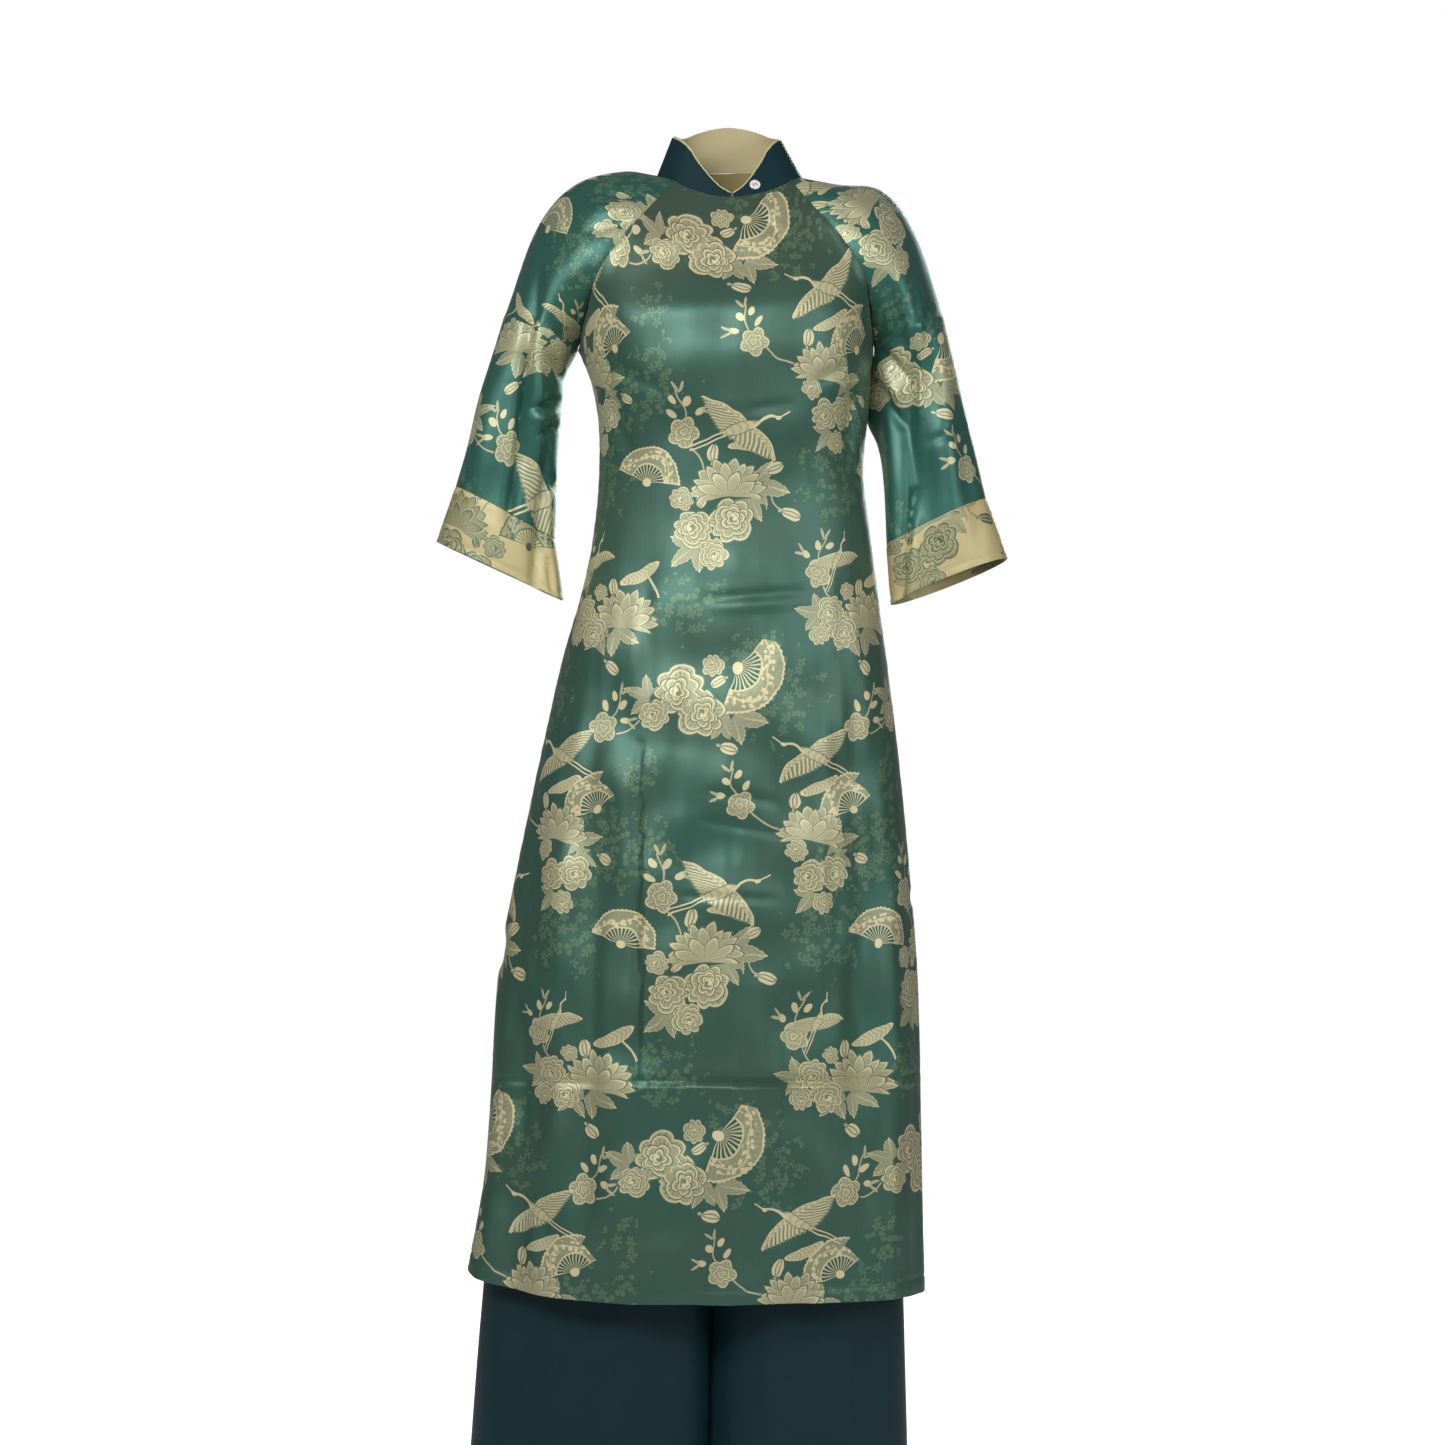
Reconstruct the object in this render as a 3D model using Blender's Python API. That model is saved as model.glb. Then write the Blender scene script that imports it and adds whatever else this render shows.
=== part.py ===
"""A worn ao dai with no wearer: a raglan tunic slit at both sides, and the wide trousers under it.

Metres, +Z up. The wearer faces -Y and the viewer's right is +X. The origin is the middle of the neck
seam at shoulder height, where the wearer's shoulders hold the garment up. Every cloth panel is a wall
whose outer side is a grid of points: row by row down the garment, column by column across the panel.
"""

import math
from collections import namedtuple

import bmesh
import bpy
import numpy as np
from mathutils import Matrix

# Cloth and sewing
CLOTH = 0.0012
BAND_CLOTH = 0.0022
SEAM_GAP = 0.00036
UNDERARM_GAP = 0.0006

# Number of facets across and down each kind of panel
PANEL_COLUMNS = 18
YOKE_ROWS = 8
BODY_ROWS = 20
SLEEVE_COLUMNS = 18
SLEEVE_ROWS = 8
CUFF_ROWS = 2
LEG_COLUMNS = 7
LEG_ROWS = 15
COLLAR_ROWS = 2

# Tunic body: level sections from the underarm to the hem, with side seams left and right
Body = namedtuple("Body", "z left right front back")
BODY = [
    Body(-0.181, -0.162, 0.1490, -0.121, 0.112),
    Body(-0.200, -0.152, 0.1455, -0.121, 0.110),
    Body(-0.235, -0.1425, 0.1435, -0.117, 0.102),
    Body(-0.306, -0.139, 0.1375, -0.098, 0.083),
    Body(-0.369, -0.144, 0.1445, -0.095, 0.088),
    Body(-0.431, -0.156, 0.1520, -0.099, 0.101),
    Body(-0.499, -0.176, 0.1610, -0.104, 0.114),
    Body(-0.596, -0.198, 0.1730, -0.108, 0.122),
    Body(-0.718, -0.224, 0.1850, -0.111, 0.125),
    Body(-0.821, -0.243, 0.1935, -0.113, 0.127),
    Body(-0.965, -0.251, 0.1965, -0.115, 0.130),
    Body(-1.075, -0.259, 0.1980, -0.117, 0.132),
    Body(-1.157, -0.2735, 0.1990, -0.118, 0.134),
]
SLIT_TOP = -0.79
SLIT_SPREAD = 0.030
HEM_RISE_LEFT = 0.024
FRONT_FLATNESS = 0.86

# Yoke: sections from the neck seam down the raglan seams to the underarm, on the viewer's right side.
# mid is the centre front or back, seam the raglan seam, blade the fullest point between seam and
# crown, and crown the shoulder line.
Yoke = namedtuple("Yoke", "mid_y mid_z seam_x seam_y seam_z blade_x blade_y blade_z")
FRONT_YOKE = [
    Yoke(-0.055, -0.029, 0.0610, -0.031, -0.008, 0.0700, -0.018, -0.003),
    Yoke(-0.074, -0.063, 0.0840, -0.057, -0.039, 0.1020, -0.046, -0.020),
    Yoke(-0.094, -0.101, 0.1115, -0.073, -0.072, 0.1420, -0.060, -0.045),
    Yoke(-0.110, -0.141, 0.1370, -0.068, -0.117, 0.1740, -0.064, -0.098),
    Yoke(-0.121, -0.181, 0.1490, 0.000, -0.181, 0.1860, -0.060, -0.168),
]
BACK_YOKE = [
    Yoke(0.059, 0.016, 0.0610, 0.036, 0.005, 0.0700, 0.022, 0.002),
    Yoke(0.084, -0.020, 0.0840, 0.070, -0.024, 0.1040, 0.052, -0.014),
    Yoke(0.102, -0.068, 0.1120, 0.091, -0.062, 0.1430, 0.070, -0.042),
    Yoke(0.111, -0.123, 0.1370, 0.083, -0.115, 0.1740, 0.070, -0.098),
    Yoke(0.112, -0.181, 0.1490, 0.000, -0.181, 0.1860, 0.060, -0.168),
]
SEAM_ANGLES = [56.0, 62.0, 69.0, 79.0, 90.0]
BUST_FULLNESS = 0.007
BUST_APEX = (0.082, -0.172)
BUST_SPREAD = (0.060, 0.055)

# Sleeve: the crown of the yoke, then rings from the underarm to the cuff seam
Crown = namedtuple("Crown", "x z")
Ring = namedtuple("Ring", "inner_x inner_z outer_x outer_z depth back_drop inner_y")
RIGHT_CROWN = [
    Crown(0.0745, 0.000), Crown(0.112, -0.007), Crown(0.158, -0.014),
    Crown(0.193, -0.060), Crown(0.223, -0.148),
]
LEFT_CROWN = [
    Crown(0.0785, 0.003), Crown(0.116, 0.007), Crown(0.166, -0.008),
    Crown(0.205, -0.054), Crown(0.239, -0.148),
]
RIGHT_RINGS = [
    Ring(0.1490, -0.181, 0.223, -0.148, 0.061, 0.000, 0.000),
    Ring(0.1460, -0.205, 0.232, -0.190, 0.057, 0.000, 0.022),
    Ring(0.1475, -0.240, 0.240, -0.226, 0.054, 0.001, 0.030),
    Ring(0.1575, -0.300, 0.254, -0.284, 0.050, 0.002, 0.012),
    Ring(0.1620, -0.385, 0.266, -0.336, 0.043, 0.004, 0.000),
]
LEFT_RINGS = [
    Ring(0.1620, -0.181, 0.239, -0.148, 0.061, 0.000, 0.000),
    Ring(0.1720, -0.202, 0.250, -0.186, 0.057, 0.000, 0.000),
    Ring(0.1760, -0.232, 0.261, -0.222, 0.055, 0.000, 0.000),
    Ring(0.1815, -0.290, 0.275, -0.276, 0.050, 0.001, 0.000),
    Ring(0.1850, -0.378, 0.289, -0.323, 0.043, 0.001, 0.000),
]
RIGHT_CUFF_END = Ring(0.1665, -0.446, 0.288, -0.399, 0.040, 0.005, 0.000)
LEFT_CUFF_END = Ring(0.1770, -0.442, 0.309, -0.381, 0.040, 0.000, 0.000)
SLEEVE_FOLD_AT = {1: 0.21, -1: 0.13}
SLEEVE_FOLD_WIDTH = 0.055
SLEEVE_FOLD_DEPTH = 0.011

# Collar: a stand band whose front ends are cut away to a point at the centre front
Collar = namedtuple("Collar", "angle height")
COLLAR = [
    Collar(1.5, 0.0035), Collar(13, 0.0095), Collar(34, 0.024),
    Collar(55, 0.036), Collar(75, 0.039), Collar(180, 0.042),
]
COLLAR_LEAN = 0.48
COLLAR_SHIFT = -0.085
COLLAR_CLOTH = 0.0010
FACING_PROUD = 0.0022
COLLAR_OPENING = 1.5
COLLAR_COLUMNS = 40

# Button on the collar's end
BUTTON_RADIUS = 0.0056
BUTTON_THICKNESS = 0.0022
BUTTON_ANGLE = 27.0
BUTTON_LIFT = 0.0095
BUTTON_CLEARANCE = 0.0003
BUTTON_HOLE_RADIUS = 0.0008
BUTTON_HOLE_SPACING = 0.0030

# Trousers: level sections. inner is the angle round the leg where the centre seam or inseam lies.
Leg = namedtuple("Leg", "z left middle right front back inner")
LEGS = [
    Leg(-0.3668, -0.1412, 0.000, 0.1415, -0.0925, 0.0852, 0),
    Leg(-0.430, -0.1480, -0.001, 0.1440, -0.092, 0.090, 0),
    Leg(-0.500, -0.1620, -0.003, 0.1520, -0.092, 0.100, 0),
    Leg(-0.560, -0.1740, -0.005, 0.1580, -0.089, 0.100, -14),
    Leg(-0.615, -0.1840, -0.007, 0.1620, -0.082, 0.094, -68),
    Leg(-0.650, -0.1900, -0.008, 0.1640, -0.080, 0.090, -90),
    Leg(-0.800, -0.2130, -0.012, 0.1680, -0.077, 0.085, -90),
    Leg(-1.000, -0.2440, -0.018, 0.1730, -0.074, 0.082, -90),
    Leg(-1.180, -0.2620, -0.021, 0.1790, -0.073, 0.080, -90),
    Leg(-1.360, -0.2760, -0.023, 0.1840, -0.073, 0.080, -90),
]
LEG_APART = (0.0006, 0.007)
WAISTBAND_TOP = -0.3280
WAISTBAND_BOTTOM = -0.3664
WAISTBAND_CLEARANCE = 0.0005

# Broad folds of the skirt and the trouser legs: place across the panel, width, depth at the hem
Fold = namedtuple("Fold", "at width depth")
FRONT_FOLDS = [Fold(-0.62, 0.16, -0.006), Fold(-0.22, 0.20, 0.004), Fold(0.20, 0.16, -0.004),
               Fold(0.60, 0.14, 0.006), Fold(0.84, 0.08, -0.004)]
BACK_FOLDS = [Fold(-0.66, 0.14, 0.008), Fold(-0.25, 0.16, -0.008), Fold(0.14, 0.15, 0.008),
              Fold(0.55, 0.15, -0.008)]
LEG_FOLDS = [Fold(0.30, 0.13, 0.005), Fold(0.66, 0.12, -0.005)]
FOLDS_START = -0.42

GREEN = (0.045, 0.155, 0.115, 1)
GOLD = (0.42, 0.36, 0.17, 1)
TEAL = (0.010, 0.045, 0.055, 1)
WHITE = (0.86, 0.85, 0.82, 1)


def clear_scene():
    for old in list(bpy.data.objects):
        bpy.data.objects.remove(old, do_unlink=True)


def finish(name, colour, roughness):
    made = bpy.data.materials.new(name)
    made.use_nodes = True
    shader = made.node_tree.nodes["Principled BSDF"]
    shader.inputs["Base Color"].default_value = colour
    shader.inputs["Roughness"].default_value = roughness
    return made


def curve_through(rows, at, knots=None):
    """Smooth curve through a table's rows, read at one place: every column at once, as an array."""
    values = np.array(rows, float)
    knots = np.arange(len(rows), dtype=float) if knots is None else np.array(knots, float)
    if knots[0] > knots[-1]:
        knots, at = -knots, -at
    at = min(max(at, knots[0]), knots[-1])
    i = min(int(np.searchsorted(knots, at, side="right")) - 1, len(knots) - 2)
    slopes = np.gradient(values, knots, axis=0, edge_order=1)
    step = knots[i + 1] - knots[i]
    t = (at - knots[i]) / step
    start, end = values[i], values[i + 1]
    return (
        (2 * t**3 - 3 * t**2 + 1) * start
        + (t**3 - 2 * t**2 + t) * step * slopes[i]
        + (-2 * t**3 + 3 * t**2) * end
        + (t**3 - t**2) * step * slopes[i + 1]
    )


def smoothstep(low, high, value):
    t = min(max((value - low) / (high - low), 0.0), 1.0)
    return t * t * (3 - 2 * t)


def body_at(z):
    return Body(*curve_through(BODY, z, [row.z for row in BODY]))


def folds_at(folds, across, z):
    """Outward swell of a panel from its broad folds, which grow from the hips to the hem."""
    share = smoothstep(FOLDS_START, BODY[-1].z, z)
    return share * sum(f.depth * math.exp(-(((across - f.at) / f.width) ** 2)) for f in folds)


def row_across(left, middle, right, angle, columns, flatness):
    """One row of a front or back panel: an elliptical arc from the left seam to the right seam."""
    points = []
    last = math.radians(angle)
    for across in np.linspace(-1, 1, columns + 1):
        end = right if across > 0 else left
        turn = abs(across) * last
        out = math.sin(turn) / math.sin(last)
        fall = max((math.cos(turn) - math.cos(last)) / (1 - math.cos(last)), 0.0)
        full = fall ** flatness
        x = middle[0] + (end[0] - middle[0]) * out
        y = end[1] + (middle[1] - end[1]) * full
        z = end[2] + (middle[2] - end[2]) * fall
        points.append((x, y, z))
    return points


def yoke_at(table, k):
    return Yoke(*curve_through(table, k))


def left_seam_scale(k):
    """The left underarm lies further out than the right one; the neck is even."""
    return 1 + (BODY[0].left / -BODY[0].right - 1) * (k / (len(SEAM_ANGLES) - 1)) ** 4


def body_panel(front):
    """Outer points of the front or the back panel, neck to hem, as an array of rows and columns."""
    table = FRONT_YOKE if front else BACK_YOKE
    folds = FRONT_FOLDS if front else BACK_FOLDS
    rows = []
    last = len(table) - 1
    for k in np.linspace(0, last, YOKE_ROWS + 1)[:-1]:
        yoke = yoke_at(table, k)
        angle = float(curve_through([[a] for a in SEAM_ANGLES], k)[0])
        seam = (yoke.seam_x, yoke.seam_y, yoke.seam_z)
        mirrored = (-yoke.seam_x * left_seam_scale(k), yoke.seam_y, yoke.seam_z)
        flatness = 1 + (FRONT_FLATNESS - 1) * (k / last) ** 2
        rows.append(row_across(mirrored, (0, yoke.mid_y, yoke.mid_z), seam, angle, PANEL_COLUMNS, flatness))
    for share in np.linspace(0, 1, BODY_ROWS + 1):
        z = BODY[0].z + (BODY[-1].z - BODY[0].z) * share
        section = body_at(z)
        spread = SLIT_SPREAD * smoothstep(SLIT_TOP, BODY[-1].z, z)
        side_y = -spread if front else spread
        depth = section.front if front else section.back
        rise = HEM_RISE_LEFT * smoothstep(SLIT_TOP, BODY[-1].z, z)
        centre = (section.left + section.right) / 2
        row = row_across((section.left, side_y, z + rise), (centre, depth, z), (section.right, side_y, z),
                         SEAM_ANGLES[-1], PANEL_COLUMNS, FRONT_FLATNESS)
        rows.append(row)
    grid = np.array(rows)
    outward = -1 if front else 1
    for row in grid:
        for column, across in enumerate(np.linspace(-1, 1, PANEL_COLUMNS + 1)):
            x, y, z = row[column]
            side = 1 - across**8
            row[column][1] += outward * folds_at(folds, across, z) * side
            if front:
                for apex in (-BUST_APEX[0], BUST_APEX[0]):
                    away = ((x - apex) / BUST_SPREAD[0]) ** 2 + ((z - BUST_APEX[1]) / BUST_SPREAD[1]) ** 2
                    row[column][1] -= BUST_FULLNESS * math.exp(-away) * side
    return grid


def arc_through(knots, start_slope, end_slope, columns):
    """Smooth open curve through five points, with its first and last slopes given."""
    values = np.array(knots, float)
    slopes = np.gradient(values, axis=0)
    slopes[0], slopes[-1] = start_slope, end_slope
    points = []
    for at in np.linspace(0, len(knots) - 1, columns + 1):
        i = min(int(at), len(knots) - 2)
        t = at - i
        points.append(
            (2 * t**3 - 3 * t**2 + 1) * values[i]
            + (t**3 - 2 * t**2 + t) * slopes[i]
            + (-2 * t**3 + 3 * t**2) * values[i + 1]
            + (t**3 - t**2) * slopes[i + 1]
        )
    return points


def ring_points(ring, columns, fold, fold_at):
    """One closed ring of a sleeve, from the underarm round the front and over the outer side."""
    points = []
    centre_x, centre_z = (ring.inner_x + ring.outer_x) / 2, (ring.inner_z + ring.outer_z) / 2
    half_x, half_z = (ring.outer_x - ring.inner_x) / 2, (ring.outer_z - ring.inner_z) / 2
    for share in np.linspace(0, 1, columns + 1):
        turn = 2 * math.pi * share
        dent = fold * math.exp(-(((share - fold_at) / SLEEVE_FOLD_WIDTH) ** 2))
        x = centre_x - half_x * math.cos(turn)
        y = -(ring.depth - dent) * math.sin(turn) + ring.inner_y * (1 + math.cos(turn)) / 2
        z = centre_z - half_z * math.cos(turn) + ring.back_drop * math.sin(turn)
        points.append((x, y, z))
    return points


def sleeve(side):
    """Outer points of a sleeve: the open yoke over the shoulder, then closed rings to the cuff seam."""
    crowns = RIGHT_CROWN if side > 0 else LEFT_CROWN
    rings = RIGHT_RINGS if side > 0 else LEFT_RINGS
    last = len(crowns) - 1
    rows = []
    for k in np.linspace(0, last, YOKE_ROWS + 1)[:-1]:
        front, back = yoke_at(FRONT_YOKE, k), yoke_at(BACK_YOKE, k)
        crown = Crown(*curve_through(crowns, k))
        widen = left_seam_scale(k) if side < 0 else 1.0
        knots = [
            (front.seam_x * widen, front.seam_y, front.seam_z),
            (front.blade_x * widen, front.blade_y, front.blade_z),
            (crown.x, 0.003, crown.z),
            (back.blade_x * widen, back.blade_y, back.blade_z),
            (back.seam_x * widen, back.seam_y, back.seam_z),
        ]
        ease = (k / last) ** 2
        start = np.subtract(knots[1], knots[0]) * 1.1 + ease * np.array((0.0, -0.045, 0.0))
        end = np.subtract(knots[4], knots[3]) * 1.1 + ease * np.array((0.0, -0.045, 0.0))
        rows.append(arc_through(knots, start, end, SLEEVE_COLUMNS))
    places = [ring.inner_z for ring in rings]
    for share in np.linspace(0, 1, SLEEVE_ROWS + 1):
        at = places[0] + (places[-1] - places[0]) * share
        ring = Ring(*curve_through(rings, at, places))
        fold = SLEEVE_FOLD_DEPTH * smoothstep(0.15, 0.8, share)
        rows.append(ring_points(ring, SLEEVE_COLUMNS, fold, SLEEVE_FOLD_AT[side]))
    grid = np.array(rows)
    grid[:, :, 0] *= side
    return grid


def cuff(side):
    """Outer points of a cuff: rings from the sleeve's end to the slanted opening."""
    rings = RIGHT_RINGS if side > 0 else LEFT_RINGS
    end = RIGHT_CUFF_END if side > 0 else LEFT_CUFF_END
    rows = []
    for share in np.linspace(0, 1, CUFF_ROWS + 1):
        ring = Ring(*((1 - share) * np.array(rings[-1]) + share * np.array(end)))
        rows.append(ring_points(ring, SLEEVE_COLUMNS, SLEEVE_FOLD_DEPTH, SLEEVE_FOLD_AT[side]))
    grid = np.array(rows)
    grid[:, :, 0] *= side
    return grid


def normals_of(grid, closed):
    """Unit normals of a grid of points, one for each point, by the slopes along its rows and columns."""
    down = np.gradient(grid, axis=0)
    if closed:
        loop = np.concatenate([grid[:, -2:-1], grid, grid[:, 1:2]], axis=1)
        across = (loop[:, 2:] - loop[:, :-2]) / 2
    else:
        across = np.gradient(grid, axis=1)
    made = np.cross(down, across)
    return made / np.linalg.norm(made, axis=2, keepdims=True)


def outward(grid, normals, centre):
    """Turns the normals to point away from the garment's inside."""
    away = np.sum(normals * (grid - centre), axis=2).sum()
    return normals if away > 0 else -normals


def share_normals(one, two, weight):
    """Gives two panels' edges the same normals where weight is 1, so their walls stay parallel."""
    mean = one + two
    mean /= np.maximum(np.linalg.norm(mean, axis=-1, keepdims=True), 1e-9)
    for edge in (one, two):
        mixed = edge * (1 - weight) + mean * weight
        edge[:] = mixed / np.linalg.norm(mixed, axis=-1, keepdims=True)


def draw_in(grid, rows, column, neighbour, distance):
    """Moves the points of one edge column towards the panel's inside, to leave the seam's gap."""
    step = grid[rows, neighbour] - grid[rows, column]
    grid[rows, column] += step * (distance / np.linalg.norm(step, axis=-1, keepdims=True))


def wall(name, outer, inner, material, joined_from=None):
    """Closed solid between two grids. From row joined_from on, the first and last columns are one."""
    rows, columns = outer.shape[:2]
    joined_from = rows if joined_from is None else joined_from
    mesh = bmesh.new()

    def vertices(grid):
        made = []
        for r in range(rows):
            line = [mesh.verts.new(p) for p in grid[r, : columns - 1]]
            line.append(line[0] if r >= joined_from else mesh.verts.new(grid[r, -1]))
            made.append(line)
        return made

    out, ins = vertices(outer), vertices(inner)
    for r in range(rows - 1):
        for c in range(columns - 1):
            mesh.faces.new((out[r][c], out[r + 1][c], out[r + 1][c + 1], out[r][c + 1]))
            mesh.faces.new((ins[r][c], ins[r][c + 1], ins[r + 1][c + 1], ins[r + 1][c]))
        if r < joined_from:
            for c in (0, columns - 1):
                mesh.faces.new((out[r][c], ins[r][c], ins[r + 1][c], out[r + 1][c]))
    for r in (0, rows - 1):
        for c in range(columns - 1):
            mesh.faces.new((out[r][c], out[r][c + 1], ins[r][c + 1], ins[r][c]))
    bmesh.ops.recalc_face_normals(mesh, faces=mesh.faces)
    bmesh.ops.triangulate(mesh, faces=mesh.faces)
    data = bpy.data.meshes.new(name)
    mesh.to_mesh(data)
    mesh.free()
    data.shade_smooth()
    data.set_sharp_from_angle(angle=math.radians(50))
    made = bpy.data.objects.new(name, data)
    made.data.materials.append(material)
    bpy.context.scene.collection.objects.link(made)
    return made


def tunic(green, gold):
    """Front, back, two sleeves and two cuffs, cut from the same sections so that their seams meet."""
    front, back = body_panel(True), body_panel(False)
    sleeves = {1: sleeve(1), -1: sleeve(-1)}
    inside = np.array((0, 0, 0))
    turned = {
        "front": outward(front, normals_of(front, False), inside + (0, 0.05, -0.5)),
        "back": outward(back, normals_of(back, False), inside + (0, -0.05, -0.5)),
    }
    for side, grid in sleeves.items():
        own = normals_of(grid, False)
        rings = normals_of(grid[YOKE_ROWS:], True)
        own[YOKE_ROWS + 1 :] = rings[1:]
        turned[side] = outward(grid, own, np.array((side * 0.195, 0, -0.28)))

    yoke = slice(0, YOKE_ROWS)
    slit_row = YOKE_ROWS + round(BODY_ROWS * (SLIT_TOP - BODY[0].z) / (BODY[-1].z - BODY[0].z))
    side_seam = slice(YOKE_ROWS, slit_row + 1)
    joined = np.array([1 - smoothstep(0.45, 0.9, r / YOKE_ROWS) for r in range(YOKE_ROWS)])[:, None]
    for side, column in ((1, -1), (-1, 0)):
        share_normals(turned["front"][yoke, column], turned[side][yoke, 0], joined)
        share_normals(turned["back"][yoke, column], turned[side][yoke, -1], joined)
        share_normals(turned["front"][side_seam, column], turned["back"][side_seam, column], 1.0)

    everywhere = slice(0, slit_row + 1)
    for grid in (front, back):
        draw_in(grid, everywhere, 0, 1, SEAM_GAP / 2)
        draw_in(grid, everywhere, -1, -2, SEAM_GAP / 2)
    for side, grid in sleeves.items():
        draw_in(grid, yoke, 0, 1, SEAM_GAP / 2)
        draw_in(grid, yoke, -1, -2, SEAM_GAP / 2)
        grid[YOKE_ROWS, [0, -1]] += (side * UNDERARM_GAP, 0, -UNDERARM_GAP)
    wall("front_panel", front, front - turned["front"] * CLOTH, green)
    wall("back_panel", back, back - turned["back"] * CLOTH, green)
    for side, word in ((1, "left"), (-1, "right")):
        grid = sleeves[side]
        wall(f"{word}_sleeve", grid, grid - turned[side] * CLOTH, green, joined_from=YOKE_ROWS)
        band = cuff(side)
        own = outward(band, normals_of(band, True), band.mean(axis=(0, 1)))
        outer = band + own * (BAND_CLOTH - CLOTH) / 2
        outer[0] += (outer[1] - outer[0]) * (SEAM_GAP / np.linalg.norm(outer[1] - outer[0], axis=-1, keepdims=True))
        wall(f"{word}_cuff", outer, outer - own * BAND_CLOTH, gold, joined_from=0)
    return front, back, sleeves, turned


def neck_ring(front, back, sleeves):
    """Points of the whole neck seam, from the centre front round by the viewer's right and back."""
    half = PANEL_COLUMNS // 2
    return np.concatenate([
        front[0, half:], sleeves[1][0, 1:-1], back[0, ::-1], sleeves[-1][0, -2:0:-1], front[0, : half + 1],
    ])


def angle_of(point):
    """Angle round the neck from the centre front, in degrees, growing through the viewer's right."""
    return math.degrees(math.atan2(point[0], -point[1])) % 360


def on_ring(ring, angles, angle):
    return np.array([np.interp(angle, angles, ring[:, axis]) for axis in range(3)])


def collar_point(ring, angles, angle, height):
    """A point of the collar's outer side, up the band from the neck seam, which leans inwards."""
    base = on_ring(ring, angles, angle)
    inwards = -np.array((base[0], base[1], 0.0))
    inwards /= np.linalg.norm(inwards)
    return base + np.array((COLLAR_SHIFT, 0, 1)) * height + inwards * height * COLLAR_LEAN


def collar_height(angle):
    folded = angle if angle <= 180 else 360 - angle
    return float(np.interp(folded, [c.angle for c in COLLAR], [c.height for c in COLLAR]))


def collar(ring, teal, gold):
    """The stand band and the facing inside it, which rolls a little over the band's top edge."""
    angles = np.array([angle_of(p) for p in ring])
    angles[0], angles[-1] = 0.0, 360.0
    places = np.linspace(COLLAR_OPENING, 360 - COLLAR_OPENING, COLLAR_COLUMNS + 1)
    for name, proud, depth, material in (
        ("collar_band", 0.0, 0.0, teal),
        ("collar_facing", FACING_PROUD, COLLAR_CLOTH + SEAM_GAP, gold),
    ):
        rows = []
        for share in np.linspace(1, 0, COLLAR_ROWS + 1):
            rows.append([
                collar_point(ring, angles, a, SEAM_GAP + (collar_height(a) + proud) * share) for a in places
            ])
        grid = np.array(rows)
        own = normals_of(grid, False)
        own = outward(grid, own, grid.mean(axis=(0, 1)))
        outer = grid - own * depth
        wall(name, outer, outer - own * COLLAR_CLOTH, material)
    return angles


def button(ring, angles, white):
    """Round two-hole button that lies on the collar's end on the viewer's right."""
    centre = collar_point(ring, angles, BUTTON_ANGLE, BUTTON_LIFT)
    beside = collar_point(ring, angles, BUTTON_ANGLE + 4, BUTTON_LIFT)
    above = collar_point(ring, angles, BUTTON_ANGLE, BUTTON_LIFT + 0.004)
    across = (beside - centre) / np.linalg.norm(beside - centre)
    up = (above - centre) / np.linalg.norm(above - centre)
    out = np.cross(across, up)
    out *= -1 if out[1] > 0 else 1
    up = np.cross(out, across)
    steps = [(0.0, 0.0), (0.80, 0.0), (1.0, 0.25), (1.0, 0.8), (0.88, 1.0), (0.72, 1.0), (0.62, 0.78), (0.0, 0.78)]
    mesh = bmesh.new()
    profile = [mesh.verts.new((BUTTON_RADIUS * r, 0, BUTTON_THICKNESS * h)) for r, h in steps]
    edges = [mesh.edges.new(pair) for pair in zip(profile[:-1], profile[1:])]
    bmesh.ops.spin(mesh, geom=profile + edges, cent=(0, 0, 0), axis=(0, 0, 1), angle=2 * math.pi, steps=20)
    bmesh.ops.remove_doubles(mesh, verts=mesh.verts, dist=1e-6)
    bmesh.ops.recalc_face_normals(mesh, faces=mesh.faces)
    data = bpy.data.meshes.new("collar_button")
    mesh.to_mesh(data)
    mesh.free()
    data.shade_smooth()
    data.set_sharp_from_angle(angle=math.radians(40))
    made = bpy.data.objects.new("collar_button", data)
    made.data.materials.append(white)
    bpy.context.scene.collection.objects.link(made)
    seat = centre + out * BUTTON_CLEARANCE
    rows = [(across[i], up[i], out[i], seat[i]) for i in range(3)]
    made.matrix_world = Matrix((*rows, (0, 0, 0, 1)))
    for number, way in enumerate((-1, 1)):
        bpy.ops.mesh.primitive_cylinder_add(vertices=10, radius=BUTTON_HOLE_RADIUS, depth=BUTTON_THICKNESS * 4)
        drill = bpy.context.active_object
        drill.name = f"button_drill_{number}"
        drill.parent = made
        drill.location = (way * BUTTON_HOLE_SPACING / 2, 0, 0)
        drill.hide_render = True
        drill.display_type = "WIRE"
        hole = made.modifiers.new(f"hole_{number}", "BOOLEAN")
        hole.operation = "DIFFERENCE"
        hole.object = drill
    return made


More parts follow.
